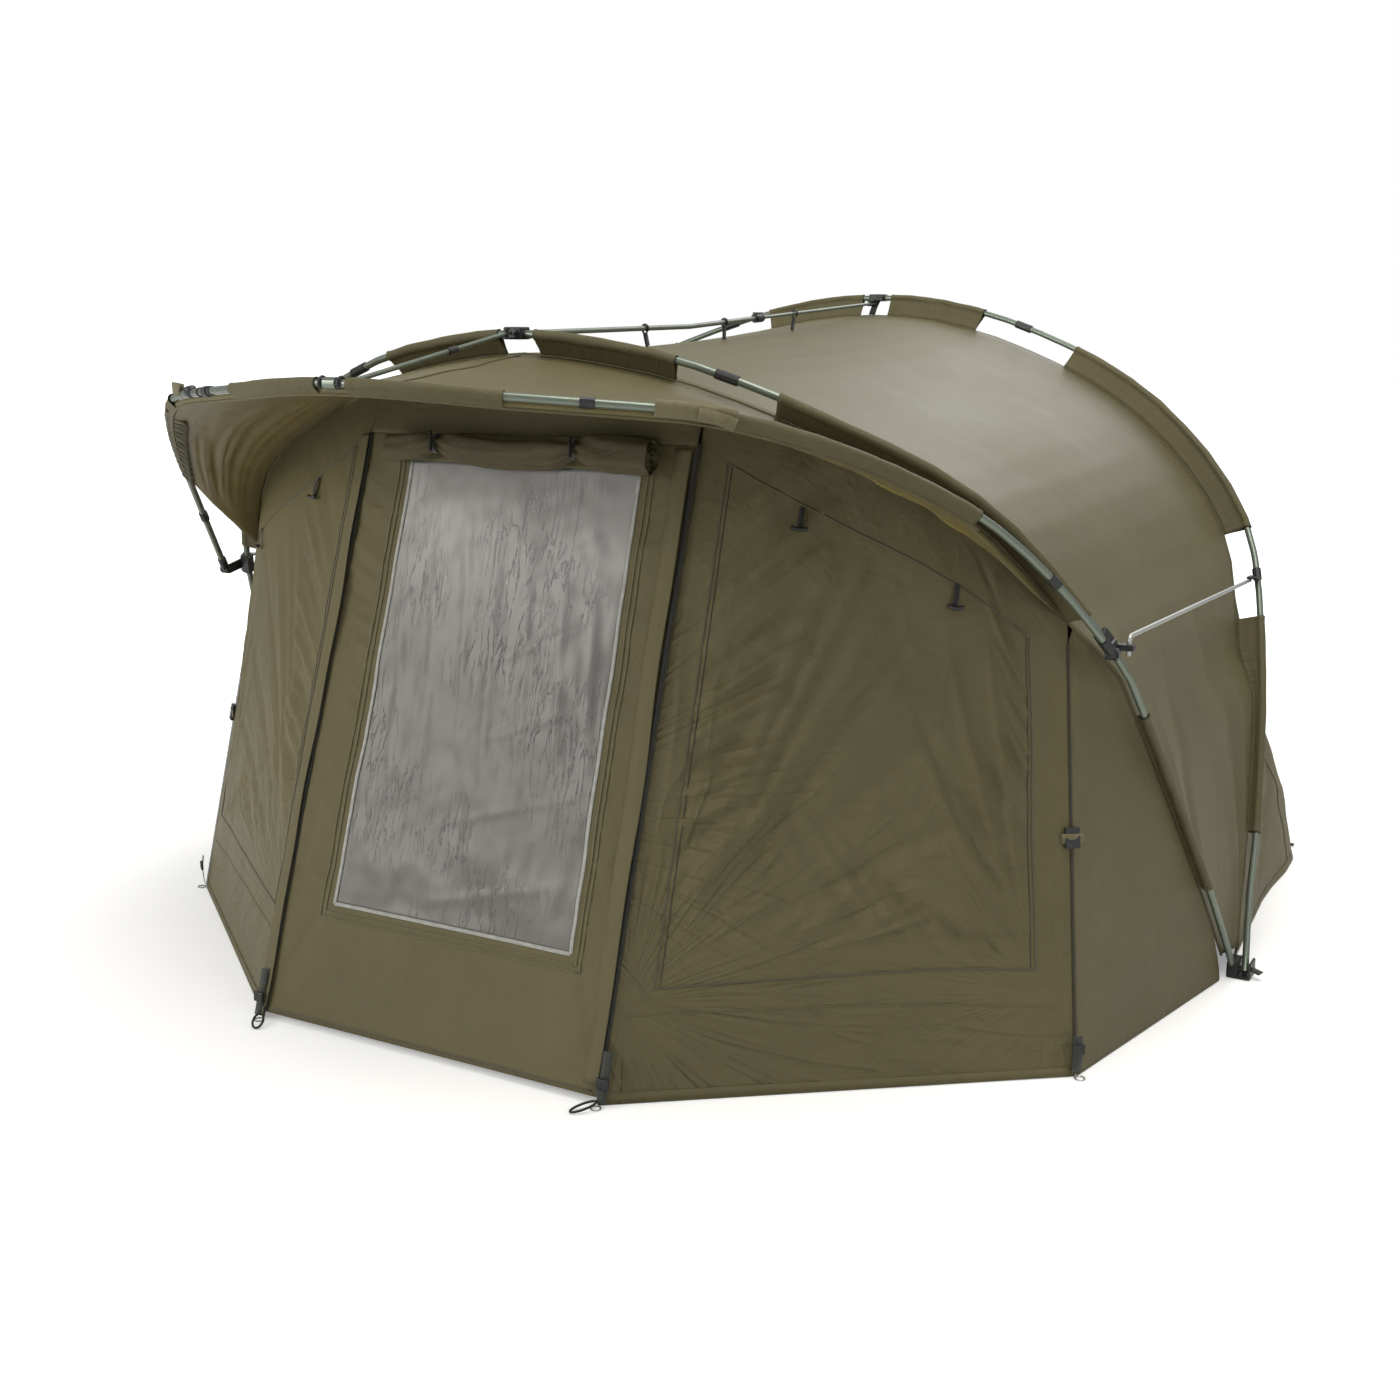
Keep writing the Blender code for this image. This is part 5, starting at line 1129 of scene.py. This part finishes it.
def sleeves():
    for name, rib, legs, side, fins in (
        ("front", FRONT, (0.33, 0.90), (1.19, 0.632), (0.402, 0.050)),
        ("rear", REAR, (0.38, 0.985), (1.246, 0.702), (0.379, 0.050)),
    ):
        def frame_at(share, rib=rib):
            return rib.inward(share), rib.out

        body = name + "_frame"
        curve = rib.point, frame_at, rib.drop, body
        binding(name + "_rib_binding", rib.start, *curve, (name + "_rib_sleeve",))
        for number, (label, low, high) in enumerate((
            ("leg", rib.rise_share(legs[0]), rib.rise_share(legs[1])),
            ("side", rib.rise_share(side[0]), rib.width_share(side[1])),
            ("fin", rib.width_share(fins[0]), rib.width_share(fins[1])),
        )):
            for letter, facing in SIDES:
                ends = (far_share(low, facing), far_share(high, facing))
                pocket(f"{name}_{label}_sleeve_{letter}", *ends, *curve, number * 7 + facing)
    storm = STORM.at, storm_frame_at, storm_strip_drop, "storm_frame"
    start = CANOPY_STORM - 2 * TUBE_RADIUS / STORM.length
    binding("peak_edge_binding", start, *storm, ("storm_sleeve",), 160)
    for label, wide, narrow in (("side", 1.115, 0.748), ("front", 0.355, 0.040)):
        for letter, facing in SIDES:
            ends = [far_share(storm_share(width), facing) for width in (wide, narrow)]
            pocket(f"peak_{label}_sleeve_{letter}", *ends, *storm, 31 + facing + wide, 60)


def pole_web():
    """Cloth between the bare stretches of the storm pole and the edge strip below it."""

    def surface(u, v):
        share = mix(CANOPY_STORM, 1 - CANOPY_STORM, u)
        return STORM.at(share) + storm_inward(share) * mix(0.0094, STORM_STRIP_DROP, v)

    place("peak_edge_web", turned_out(grid(170, 2, surface, 3.1, 0.015)), ROOF, "storm_frame", (), 0.0010)


# Skins.


def left_wall_point(u, v):
    return wall_point(u, v, 0.0, -1)


def panel(name, cells, surface, size, material, body, node, side=1):
    return cloth(name, grid(*cells, surface, *size, side), material, body, (node,))


def skins():
    with_roof(panel("roof_skin", (220, 60), roof_surface, (4.55, 2.10), ROOF, None, "roof"))
    size = (3.30, 0.66)
    with_peak(panel("peak_skin", (150, 40), canopy_point, size, ROOF, None, "peak_canopy"))
    size = (4.60, 1.70)
    gather(panel("rear_wall_skin", (200, 70), rear_wall_point, size, WALL, "rear_frame", "rear_wall"))
    panel("door_header_skin", (40, 14), header_point, (0.93, 0.22), WALL, "front_frame", "door_header")
    for letter, side, wall, finish in (("R", 1, wall_point, WALL_R), ("L", -1, left_wall_point, WALL_L)):
        for name, cells, surface, size, material in (
            ("front_wall", (150, 180), wall, (0.98, 1.46), finish),
            ("side_panel", (50, 80), side_panel_point, (0.75, 1.10), WALL),
        ):
            title, node = f"{name}_skin_{letter}", f"{name}_{letter}"
            panel(title, cells, surface, size, material, "front_frame", node, side)


# Door: panel with its window, borders, tapes, rolled cover and toggles. All of it rides on the door.


def door():
    low, high = WINDOW_SLOPES

    def flat(u, v):
        slope = mix(DOOR_FOOT_SLOPE, DOOR_TOP_SLOPE, v)
        return Vector(((seam_point(1, slope).x - DOOR_SEAM_GAP) * (2 * u - 1), slope, 0.0))

    def pane(u, v):
        x, slope = WINDOW_HALF_WIDTH * (2 * u - 1), mix(low, high, v)
        return on_door(x, slope, window_fold(x, slope))

    work = grid(110, 160, flat, 0.95, DOOR_TOP_SLOPE - DOOR_FOOT_SLOPE)
    for point, normal in (
        (ACROSS * -WINDOW_HALF_WIDTH, ACROSS), (ACROSS * WINDOW_HALF_WIDTH, ACROSS),
        (BACK * low, BACK), (BACK * high, BACK),
    ):
        parts = work.verts[:] + work.edges[:] + work.faces[:]
        bmesh.ops.bisect_plane(work, geom=parts, plane_co=point, plane_no=normal)
    middles = [(face, face.calc_center_median()) for face in work.faces]
    inside = [face for face, middle in middles if abs(middle.x) < WINDOW_HALF_WIDTH and low < middle.y < high]
    bmesh.ops.delete(work, geom=inside, context="FACES")
    for vertex in work.verts:
        vertex.co = on_door(vertex.co.x, vertex.co.y)
    cloth("door_skin", work, WALL, "door", ("door_panel",))
    work, size = grid(80, 120, pane, 2 * WINDOW_HALF_WIDTH, high - low), (0.70, 1.10)
    cloth("door_window_pane", work, VINYL, "door", ("door_window",), thickness=0.0006)


def points_on(marks, step, stretch=1.0):
    """Places in equal steps from mark to mark."""
    points = []
    for start, end in zip(marks, marks[1:]):
        count = max(2, int(math.hypot(end[0] - start[0], (end[1] - start[1]) * stretch) / step))
        points += [[mix(start[axis], end[axis], share) for axis in (0, 1)] for share in steps(count)[:-1]]
    return points + [marks[-1]]


def door_line(name, marks, width, out, material):
    """A tape sewn to the door along marks given as x and slope."""
    run = [on_door(x, slope, out) for x, slope in points_on(marks, 0.02)]
    return band(name, run, DOOR_OUT, width, material, "door", 0.0010)


def door_trim():
    for label, reach, rise, width, out, material in (
        ("weld", 0.0, 0.0, 0.009, 0.0016, WELD), ("tape_inner", 0.022, 0.01, 0.0045, 0.0020, TAPE),
        ("tape_outer", 0.036, 0.01, 0.0045, 0.0020, TAPE),
    ):
        half, low, high = WINDOW_HALF_WIDTH + reach, WINDOW_SLOPES[0] - reach, WINDOW_SLOPES[1] + rise
        for name, marks in (
            ("left", ((-half, high), (-half, low))), ("right", ((half, high), (half, low))),
            ("foot", ((-half, low), (half, low))),
        ):
            door_line(f"window_{label}_{name}", marks, width, out, material)
    slope = DOOR_FOOT_SLOPE + 0.010
    door_line("door_hem_seam", ((-0.455, slope), (0.455, slope)), 0.005, 0.0014, SEAM)


def rolled_cover():
    """The window cover rolled up loosely under its two toggles: one long spiral of cloth."""

    def surface(u, v):
        x = ROLL_HALF_WIDTH * (2 * u - 1)
        pinch, gathered, slant = 1.0, 0.0, 0.0
        for toggle in TOGGLE_PLACES:
            near = bell(x, toggle, 0.070)
            pinch -= 0.46 * bell(x, toggle, 0.034)
            gathered += near
            slant += near * 55 * abs(x - toggle)
        share = (x - TOGGLE_PLACES[0]) / (TOGGLE_PLACES[1] - TOGGLE_PLACES[0])
        sag = 0.016 * abs(math.sin(math.pi * share)) + ROLL_SINK
        angle = 2 * math.pi * ROLL_TURNS * v + 0.5 * noise.noise(Vector((x * 5, 0.0, 2.0)))
        round_place = Vector((x * 4, 1.6 * math.cos(angle), 1.6 * math.sin(angle)))
        crimp = 1 + 0.22 * gathered * math.sin(6 * angle + slant) + 0.36 * noise.noise(round_place)
        crimp += 0.07 * math.sin(5 * angle + 9 * x + 3 * noise.noise(Vector((x * 7, 0.0, 4.0))))
        radius = ROLL_RADIUS * (0.14 + 0.86 * v) * pinch * crimp * mix(0.86, 1.10, u)
        out = ROLL_RADIUS + 0.0030 + radius * 0.92 * math.cos(angle)
        return door_point(x, ROLL_SLOPE - sag + ROLL_TALLNESS * radius * math.sin(angle), out)

    work = grid(170, 120, surface, 0.76, 1.30)
    roll = place("window_cover_cloth", work, ROLL, "door", ("window_cover_roll",), 0.0010)
    girth = ROLL_RADIUS * 0.60 + 0.0030
    for number, x in enumerate(TOGGLE_PLACES):
        centre = door_point(x, ROLL_SLOPE - ROLL_SINK, ROLL_RADIUS)
        spokes = bow(Vector((0.0, 0.0, 0.0)), DOOR_OUT, DOOR_UP, 0, 2, 24)
        loop = [centre + spoke * girth for spoke in spokes]
        band(f"roll_loop_{number}", loop, spokes, 0.012, WEB_BLACK, "door")
        front = centre + DOOR_OUT * (girth + 0.007)
        ends = [front - ACROSS * 0.006 + DOOR_UP * 0.022, front, front + ACROSS * 0.004 - DOOR_UP * 0.026]
        rod(f"roll_toggle_{number}", ends, 0.0042, BLACK, "door", (), 14)


def door_flap():
    """The storm flap: a strip sewn beside the window whose free edge stands over the right zip."""
    low, high = FLAP_SLOPES

    def surface(u, v):
        slope = mix(low, high, v)
        wave = 0.004 * math.sin(4.6 * v + 0.9) + 0.002 * math.sin(17 * v)
        free = seam_point(1, slope).x - FLAP_EDGE_GAP + wave
        sway = 0.0022 * math.sin(9 * v + 0.4) + 0.0012 * math.sin(23 * v)
        out = FLAP_SEWN + FLAP_STAND_OFF * u**2 + 0.007 * hump(u) + sway * u
        return door_point(free - FLAP_WIDTH * (1 - u), slope, out)

    work = grid(16, 130, surface, FLAP_WIDTH, high - low)
    cloth("door_flap_skin", work, WALL, "door", ("door_flap",), 0.0014)


def zips():
    """Both zips in their seams, and the fold of wall cloth that lies over the left one."""
    for letter, side in SIDES:
        seam = [seam_point(side, slope) for slope in between(0.020, DOOR_TOP_SLOPE, 110)]
        # Each zip's tape is a dark band of painted shade, the shadow in the gap of its seam; the coil is the
        # zip itself.
        for name, out, width, material, thickness in (
            ("zip_tape_shade_", 0.0022, 0.014, SHADE, 0.0010), ("zip_coil_", 0.0042, 0.0045, WEB_BLACK, 0.0014),
        ):
            points = [point + DOOR_OUT * out for point in seam]
            band(name + letter, points, DOOR_OUT, width, material, thickness=thickness)

    def surface(u, v):
        sway = 0.0030 * math.sin(11 * v + 0.8) + 0.0016 * math.sin(29 * v)
        across = -0.034 * (1 - u) + 0.004 + sway * u
        lift = 0.0006 + 0.0024 * u + 0.0075 * u**2 + 0.003 * hump(u)
        return seam_point(-1, 0.030 + (DOOR_TOP_SLOPE - 0.040) * v) + ACROSS * across + DOOR_OUT * lift

    place("zip_fold_L", turned_out(grid(14, 130, surface, 0.036, 1.41)), WALL, "front_frame", (), 0.0012)


# Front walls: stitched borders, hem seams, toggles, buckles.


STRAP_WIDTH = 0.022
BUNGEE_RADIUS = 0.0028
BACK_LOOP_REACH = 0.007
FOOT_PULL_START = (1.528, -0.004, 0.024)
FOOT_PULL_RUN = (0.026, -0.010, -0.004)
WALL_BORDER = (
    (0.068, 0.912), (0.074, 0.55), (0.080, 0.160), (0.50, 0.192),
    (0.909, 0.228), (0.893, 0.55), (0.872, 0.886),
)
# Just inside the stitched border runs a thin band of painted shade, where the border's fold shades the wall.
WALL_BORDER_SHADE = tuple((u + (0.012 if u < 0.2 else -0.012 if u > 0.8 else 0), v) for u, v in WALL_BORDER)
WALL_ARC = (
    (0.068, 0.912), (0.160, 0.900), (0.244, 0.894), (0.400, 0.884),
    (0.632, 0.878), (0.760, 0.880), (0.872, 0.890),
)
WALL_LINES = (
    ("wall_border_", WALL_BORDER, 0.0045, 0.0014, SEAM),
    ("wall_border_shade_", WALL_BORDER_SHADE, 0.0025, 0.0010, SHADE),
    ("wall_arc_", WALL_ARC, 0.0045, 0.0015, SEAM),
    ("wall_hem_seam_", ((0.03, 0.122), (0.5, 0.140), (0.96, 0.152)), 0.003, 0.0010, WALL),
    ("wall_foot_hem_", ((0.006, 0.010), (0.5, 0.010), (0.992, 0.010)), 0.020, 0.0016, WALL),
)
WALL_TOGGLES = ((0.253, 0.890, 0.865), (0.637, 0.880, 0.838))


def wall_trim():
    for letter, side in SIDES:
        for name, marks, width, out, material in WALL_LINES:
            places = points_on(marks, 0.02, 1.4)
            run = [flipped(wall_point(u, v, out, side), side) for u, v in places]
            outs = [flipped(wall_out(u, v), side) for u, v in places]
            band(name + letter, run, outs, width, material, thickness=0.0009)
        for number, (u, top, foot) in enumerate(WALL_TOGGLES):
            head, tail = (flipped(wall_point(u, v, 0.004, side), side) for v in (top, foot))
            out, down = flipped(wall_out(u, top), side), (tail - head).normalized()
            points = [head + out * (0.006 * hump(t)) + down * (0.052 * t) for t in steps(8)]
            band(f"wall_toggle_strap_{number}_{letter}", points, out, 0.012, WEB_BLACK)
            bar, middle = down.cross(out).normalized() * 0.019, head + down * 0.054 + out * 0.008
            ends = [middle - bar - down * 0.004, middle, middle + bar - down * 0.004]
            rod(f"wall_toggle_bar_{number}_{letter}", ends, 0.0046, BLACK, sides=14)
        side_seams(letter, side)


def side_seams(letter, side):
    """The upright seam at the side peg with its buckle strap and adjuster."""
    away = heading(0.62, -0.78, 0.0, side)
    # The upright seam is drawn as a thin dark band of painted shade, the shadow in its fold.
    points = [flipped(side_seam(share), side) + away * 0.0030 for share in between(0.006, 0.956, 40)]
    band("side_seam_tape_" + letter, points, away, 0.006, SHADE, thickness=0.0010)
    low_corner, high_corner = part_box("wall_buckle_" + letter)
    centre = (low_corner + high_corner) / 2 - FOOT_LINE + away * 0.001
    back = heading(0.74, 0.62, 0.0, side)
    points = [centre + back * (0.052 * t - 0.026) + away * (0.004 * hump(t)) for t in steps(12)]
    band("buckle_strap_" + letter, points, away, STRAP_WIDTH, WEB_KHAKI, slot="wall_cloth")
    low = flipped(side_seam(0.012), side) + away * 0.004
    points = [low + UP * (0.085 * (1 - t)) + away * (0.003 + 0.004 * hump(t)) for t in steps(8)]
    band("side_peg_strap_" + letter, points, away, STRAP_WIDTH, WEB_DARK)
    centre = low + UP * 0.055 + away * 0.009
    block("side_peg_adjuster_" + letter, centre, (0.030, 0.022, 0.007), axes_on(away, UP), 0.002)


def ground_corners():
    """Strap, adjuster and bungee of each front corner, the bungees at the back, and the feet's tabs."""
    for letter, side in SIDES:
        foot = seam_point(side, 0.0)
        out = heading(0.10, -1.0, 0.05, side)
        beside = foot + ACROSS * (side * 0.0135) + DOOR_OUT * 0.008
        points = [beside + UP * (0.115 - 0.107 * t) + BACK * (0.034 * (1 - t)) for t in steps(10)]
        band("front_peg_strap_" + letter, points, out, STRAP_WIDTH, WEB_DARK)
        centre = points[6] + out * 0.006
        block("front_peg_adjuster_" + letter, centre, (0.030, 0.024, 0.008), axes_on(out, UP), 0.002)
        start = foot + Vector((0.004 * side, -0.010, 0.016))
        swing = heading(-0.55, -0.80, 0.0, side)
        reach = swing * 0.030 - UP * 0.0055
        loop = bow(start + reach, -reach, swing.cross(UP) * 0.012, 0, 2, 32)
        bungee = rod("front_bungee_" + letter, loop, BUNGEE_RADIUS, CORD, None, (), 10)
        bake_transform(bungee)
        out = heading(0.75, 0.66, 0.0, side)
        centre = Vector((BACK_PEG[0] * side, BACK_PEG[1], BACK_LOOP_REACH)) + out * BACK_LOOP_REACH
        loop = bow(centre, out * -0.013, out.cross(UP) * 0.010, 0, 2, 32)
        gather(rod("back_bungee_" + letter, loop, BUNGEE_RADIUS, CORD, "rear_frame", (), 10))
        start = flipped(FOOT_PULL_START, side)
        points = between(start, start + flipped(FOOT_PULL_RUN, side), 8)
        band("foot_pull_" + letter, points, heading(0.1, -0.25, 1.0, side), 0.020, WEB_DARK, thickness=0.0018)


# Storm pole: webbing strap on the right, knob and loop on the left, drawn-in pocket, hooks.


POCKET_SHARES = (0.742, 0.868)
BAND_SHARES = (0.633, 0.654)
HOOK_SHARES = (0.4935, 0.5065)
KNOB_SHARE = 0.672
LOOP_SHARE = 0.6885
PEAK_STRAP_HALF_WIDTHS = (0.753, 0.618)


def gathered_pocket():
    """The elastic pocket that draws the left corner of the peak on to its pole."""

    def surface(u, v):
        share = mix(*POCKET_SHARES, u)
        pole = STORM.at(share)
        edge = canopy_point((share - CANOPY_STORM) / (1 - 2 * CANOPY_STORM), 0.150)
        inward = (edge - pole).normalized()
        across = storm_tangent(share).cross(inward).normalized()
        depth = (edge - pole).length * (0.80 + 0.20 * hump(u) ** 0.5)
        gathers = math.sin(2 * math.pi * 13 * u + 2.2 * noise.noise(Vector((u * 9, v * 2, 6.0))))
        inset, sideways = pocket_ring(v, depth, 0.0135 * (1 + 0.07 * gathers))
        web = ease(abs(2 * v - 1), 0.55, 0.70) * (1 if v > 0.5 else -1)
        return pole + inward * inset + across * (sideways + web * (0.0080 + 0.0044 * gathers))

    work = grid(190, 30, surface, 0.26, 0.22)
    work.normal_update()
    place("gathered_pocket_L", work, SEAM, "storm_frame", (), 0.0010)


def peak_strap():
    """Webbing wrapped close round the right of the storm pole, with its tail."""
    low, high = (storm_share(width) for width in PEAK_STRAP_HALF_WIDTHS)

    def surface(u, v):
        share = mix(low, high, u)
        inward, across = storm_frame_at(share)
        turn = 2 * math.pi * v
        radius = 0.0112 + 0.0052 * math.cos(turn) ** 2
        radius += 0.0006 * noise.noise(Vector((u * 46, math.sin(turn) * 1.2, math.cos(turn) * 1.2)))
        return STORM.at(share) + inward * (radius * math.cos(turn)) + across * (radius * math.sin(turn))

    work = loft(30, 28, surface, (STORM.at(high) - STORM.at(low)).length, 0.09)
    place("peak_strap", work, WEB_KHAKI, "storm_frame", (), 0.0010)
    points = []
    for t in steps(14):
        hang = Vector((0.0, 0.0185 + 0.003 * hump(t), 0.002 + 0.009 * t**2))
        points.append(STORM.at(storm_share(0.700 + 0.060 * t)) - hang)
    band("peak_strap_tail", points, heading(0.2, -1, 0.1), 0.026, WEB_KHAKI, "storm_frame", 0.0030)


def storm_trim():
    peak_strap()
    gathered_pocket()
    for number, share in enumerate(BAND_SHARES):
        half = storm_tangent(share) * 0.004
        ends = [STORM.at(share) - half, STORM.at(share) + half]
        rod(f"pole_band_{number}", ends, TUBE_RADIUS + 0.0018, BLACK, "storm_frame", (), 24)
    axes = axes_on(-storm_inward(KNOB_SHARE), storm_tangent(KNOB_SHARE))
    centre = STORM.at(KNOB_SHARE) + axes[2] * 0.004
    block("corner_knob_L", centre, (0.026, 0.034, 0.026), axes, 0.009, "storm_frame")
    root = STORM.at(LOOP_SHARE) - storm_inward(LOOP_SHARE) * 0.010
    points = bow(root, heading(-1.0, 0.25, 0.10) * 0.040, BACK * 0.007, -0.5, 0.5, 16)
    outs = bow(Vector((0.0, 0.0, 0.0)), -ACROSS, BACK, -0.5, 0.5, 16)
    band("corner_loop_L", points, outs, 0.026, WEB_KHAKI, "storm_frame")
    for number, share in enumerate(HOOK_SHARES):
        hook = bow(STORM.at(share), BACK * 0.0125, UP * 0.0125, -0.1, 1.25, 16)
        rod(f"peak_hook_{number}", hook, 0.0032, BLACK, "storm_frame", (), 12)


# Roof hooks on the ridge bar and the strap of the rear block.


ROOF_HOOK_PLACES = (-0.45, -0.03, 0.40)
ROOF_HOOK_RADIUS = 0.0095


def roof_hooks():
    radius = ROOF_HOOK_RADIUS
    for number, y in enumerate(ROOF_HOOK_PLACES):
        top = ridge_point(y)
        hook = bow(top, ACROSS * radius, UP * radius, -0.35, 1.15, 18)
        hook.append(Vector((hook[-1].x * 0.4, y, top.z - radius * 1.4)))
        with_roof(rod(f"roof_hook_{number}", hook, 0.0028, BLACK, None, (), 12))
        skin_point = roof_surface(0.5, (y - FRONT.top.y) / (REAR.top.y - FRONT.top.y))
        points = between(Vector((0.0, y, top.z - radius * 1.2)), skin_point + UP * 0.002, 8)
        with_roof(band(f"roof_tab_{number}", points, ACROSS, 0.020, WEB_BLACK, None))
    start = REAR.top + Vector((0.0, -0.010, -0.012))
    end = REAR.skin(0.5, -SKIN_STAND_OFF) + Vector((0.0, -0.012, 0.002))
    points = [mix(start, end, t) - BACK * (0.004 * hump(t)) for t in steps(6)]
    band("rear_top_strap", points, -BACK, STRAP_WIDTH, WEB_BLACK, "rear_frame")


# Long seams over the rear wall and the peak.


REAR_SEAM_SHARES = (0.18, 0.36, 0.64, 0.82)
SEAM_LIFT = 0.0016


def seam_on(name, surface, marks, width, material, body):
    points, outs = [], []
    for u, v in marks:
        point = surface(u, v)
        right = surface(min(u + 0.004, 1.0), v) - surface(max(u - 0.004, 0.0), v)
        up = surface(u, min(v + 0.01, 1.0)) - surface(u, max(v - 0.01, 0.0))
        normal = right.cross(up).normalized()
        if normal.dot(point - INSIDE) < 0:
            normal = -normal
        points.append(point + normal * SEAM_LIFT)
        outs.append(normal)
    return band(name, points, outs, width, material, body, 0.0009, "roof_cloth")


def skin_seams():
    marks = [(0.5, v) for v in between(0.02, 0.98, 30)]
    with_peak(seam_on("peak_seam", canopy_point, marks, 0.010, ROOF, None))
    for number, u in enumerate(REAR_SEAM_SHARES):
        marks = [(u, v) for v in between(0.02, 0.98, 40)]
        gather(seam_on(f"rear_seam_{number}", rear_wall_point, marks, 0.012, WALL, "rear_frame"))
    marks = [(u, 0.985) for u in between(0.004, 0.996, 160)]
    gather(seam_on("rear_hem", rear_wall_point, marks, 0.026, WALL, "rear_frame"))


def finish_nodes():
    """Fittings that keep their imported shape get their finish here."""
    finishes = (("peg_ring", STEEL), ("storm_centre_clip", TUBE), ("", BLACK))
    for name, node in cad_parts.items():
        if not node.hide_render:
            material = next(finish for prefix, finish in finishes if name.startswith(prefix))
            node.data.materials.clear()
            node.data.materials.append(material)


poles()
bars()
sleeves()
pole_web()
skins()
door()
door_trim()
rolled_cover()
door_flap()
zips()
wall_trim()
ground_corners()
storm_trim()
roof_hooks()
skin_seams()
finish_nodes()


# Stage: pale floor, soft studio light, and the camera where the photograph was taken from.


WHITE = (1.0, 1.0, 1.0)
SKY_STRENGTH = 0.42
FLOOR_SIZE = 40.0
FLOOR_GREY = 0.88
CAMERA_PLACE = (2.372, -4.328 + FOOT_LINE.y, 1.659)
CAMERA_TILT = math.radians(77.43)
CAMERA_TURN = math.radians(29.68)
SENSOR_WIDTH = 36.0
LENS = 44.64
LAMPS = (
    ("key", (1.5, -0.8, 6.5), (0.0, 0.0, 0.9), 4.0, 268.0, (1.0, 0.975, 0.89)),
    ("fill", (-3.8, -5.6, 3.0), (0.0, -0.6, 0.8), 2.8, 215.0, (1.0, 0.98, 0.92)),
    ("side", (6.0, -2.5, 3.0), (0.4, 0.0, 0.8), 3.5, 45.0, WHITE),
    ("back", (0.5, 5.0, 4.5), (0.0, 0.4, 1.2), 3.5, 80.0, WHITE),
)


def seen_share(tree):
    """1 where the camera looks straight or through a clear sheet, and 0 for light."""
    path = put(tree, "LightPath", {})
    return reckon(tree, "MAXIMUM", path["Is Camera Ray"], path["Is Transmission Ray"])


def floor():
    """Pale floor that goes over into the white of the background away from the tent."""
    material, tree, shader = open_material("studio_floor")
    where = put(tree, "TexCoord", {})["Object"]
    distance = put(tree, "VectorMath", {0: where}, operation="LENGTH")["Value"]
    glow = carried(tree, distance, 2.2, 6.0, 0.30, 1.0)
    feed(tree, shader, {
        "Base Color": (FLOOR_GREY, FLOOR_GREY, FLOOR_GREY, 1.0), "Roughness": 0.8,
        "Emission Color": (*WHITE, 1.0),
        "Emission Strength": reckon(tree, "MULTIPLY", seen_share(tree), glow),
    })
    work = bmesh.new()
    bmesh.ops.create_grid(work, x_segments=1, y_segments=1, size=FLOOR_SIZE)
    meshed("studio_floor", work, material)


def sky():
    world = bpy.data.worlds.new("studio")
    bpy.context.scene.world = world
    world.use_nodes = True
    tree = world.node_tree
    strength = carried(tree, seen_share(tree), 0.0, 1.0, SKY_STRENGTH, 1.0)
    feed(tree, tree.nodes["Background"].inputs, {"Color": (*WHITE, 1.0), "Strength": strength})


def lamps():
    for name, place_at, target, size, power, colour in LAMPS:
        data = bpy.data.lights.new(name, "AREA")
        data.shape = "SQUARE"
        data.size = size
        data.energy = power
        data.color = colour
        obj = linked(name, data)
        obj.location = place_at
        obj.rotation_euler = (Vector(target) - Vector(place_at)).to_track_quat("-Z", "Y").to_euler()


def camera():
    data = bpy.data.cameras.new("photo_view")
    data.sensor_width = SENSOR_WIDTH
    data.lens = LENS
    obj = linked("photo_view", data)
    obj.location = CAMERA_PLACE
    obj.rotation_euler = (CAMERA_TILT, 0.0, CAMERA_TURN)
    bpy.context.scene.camera = obj


floor()
sky()
lamps()
camera()
bpy.context.scene.view_settings.view_transform = "Standard"
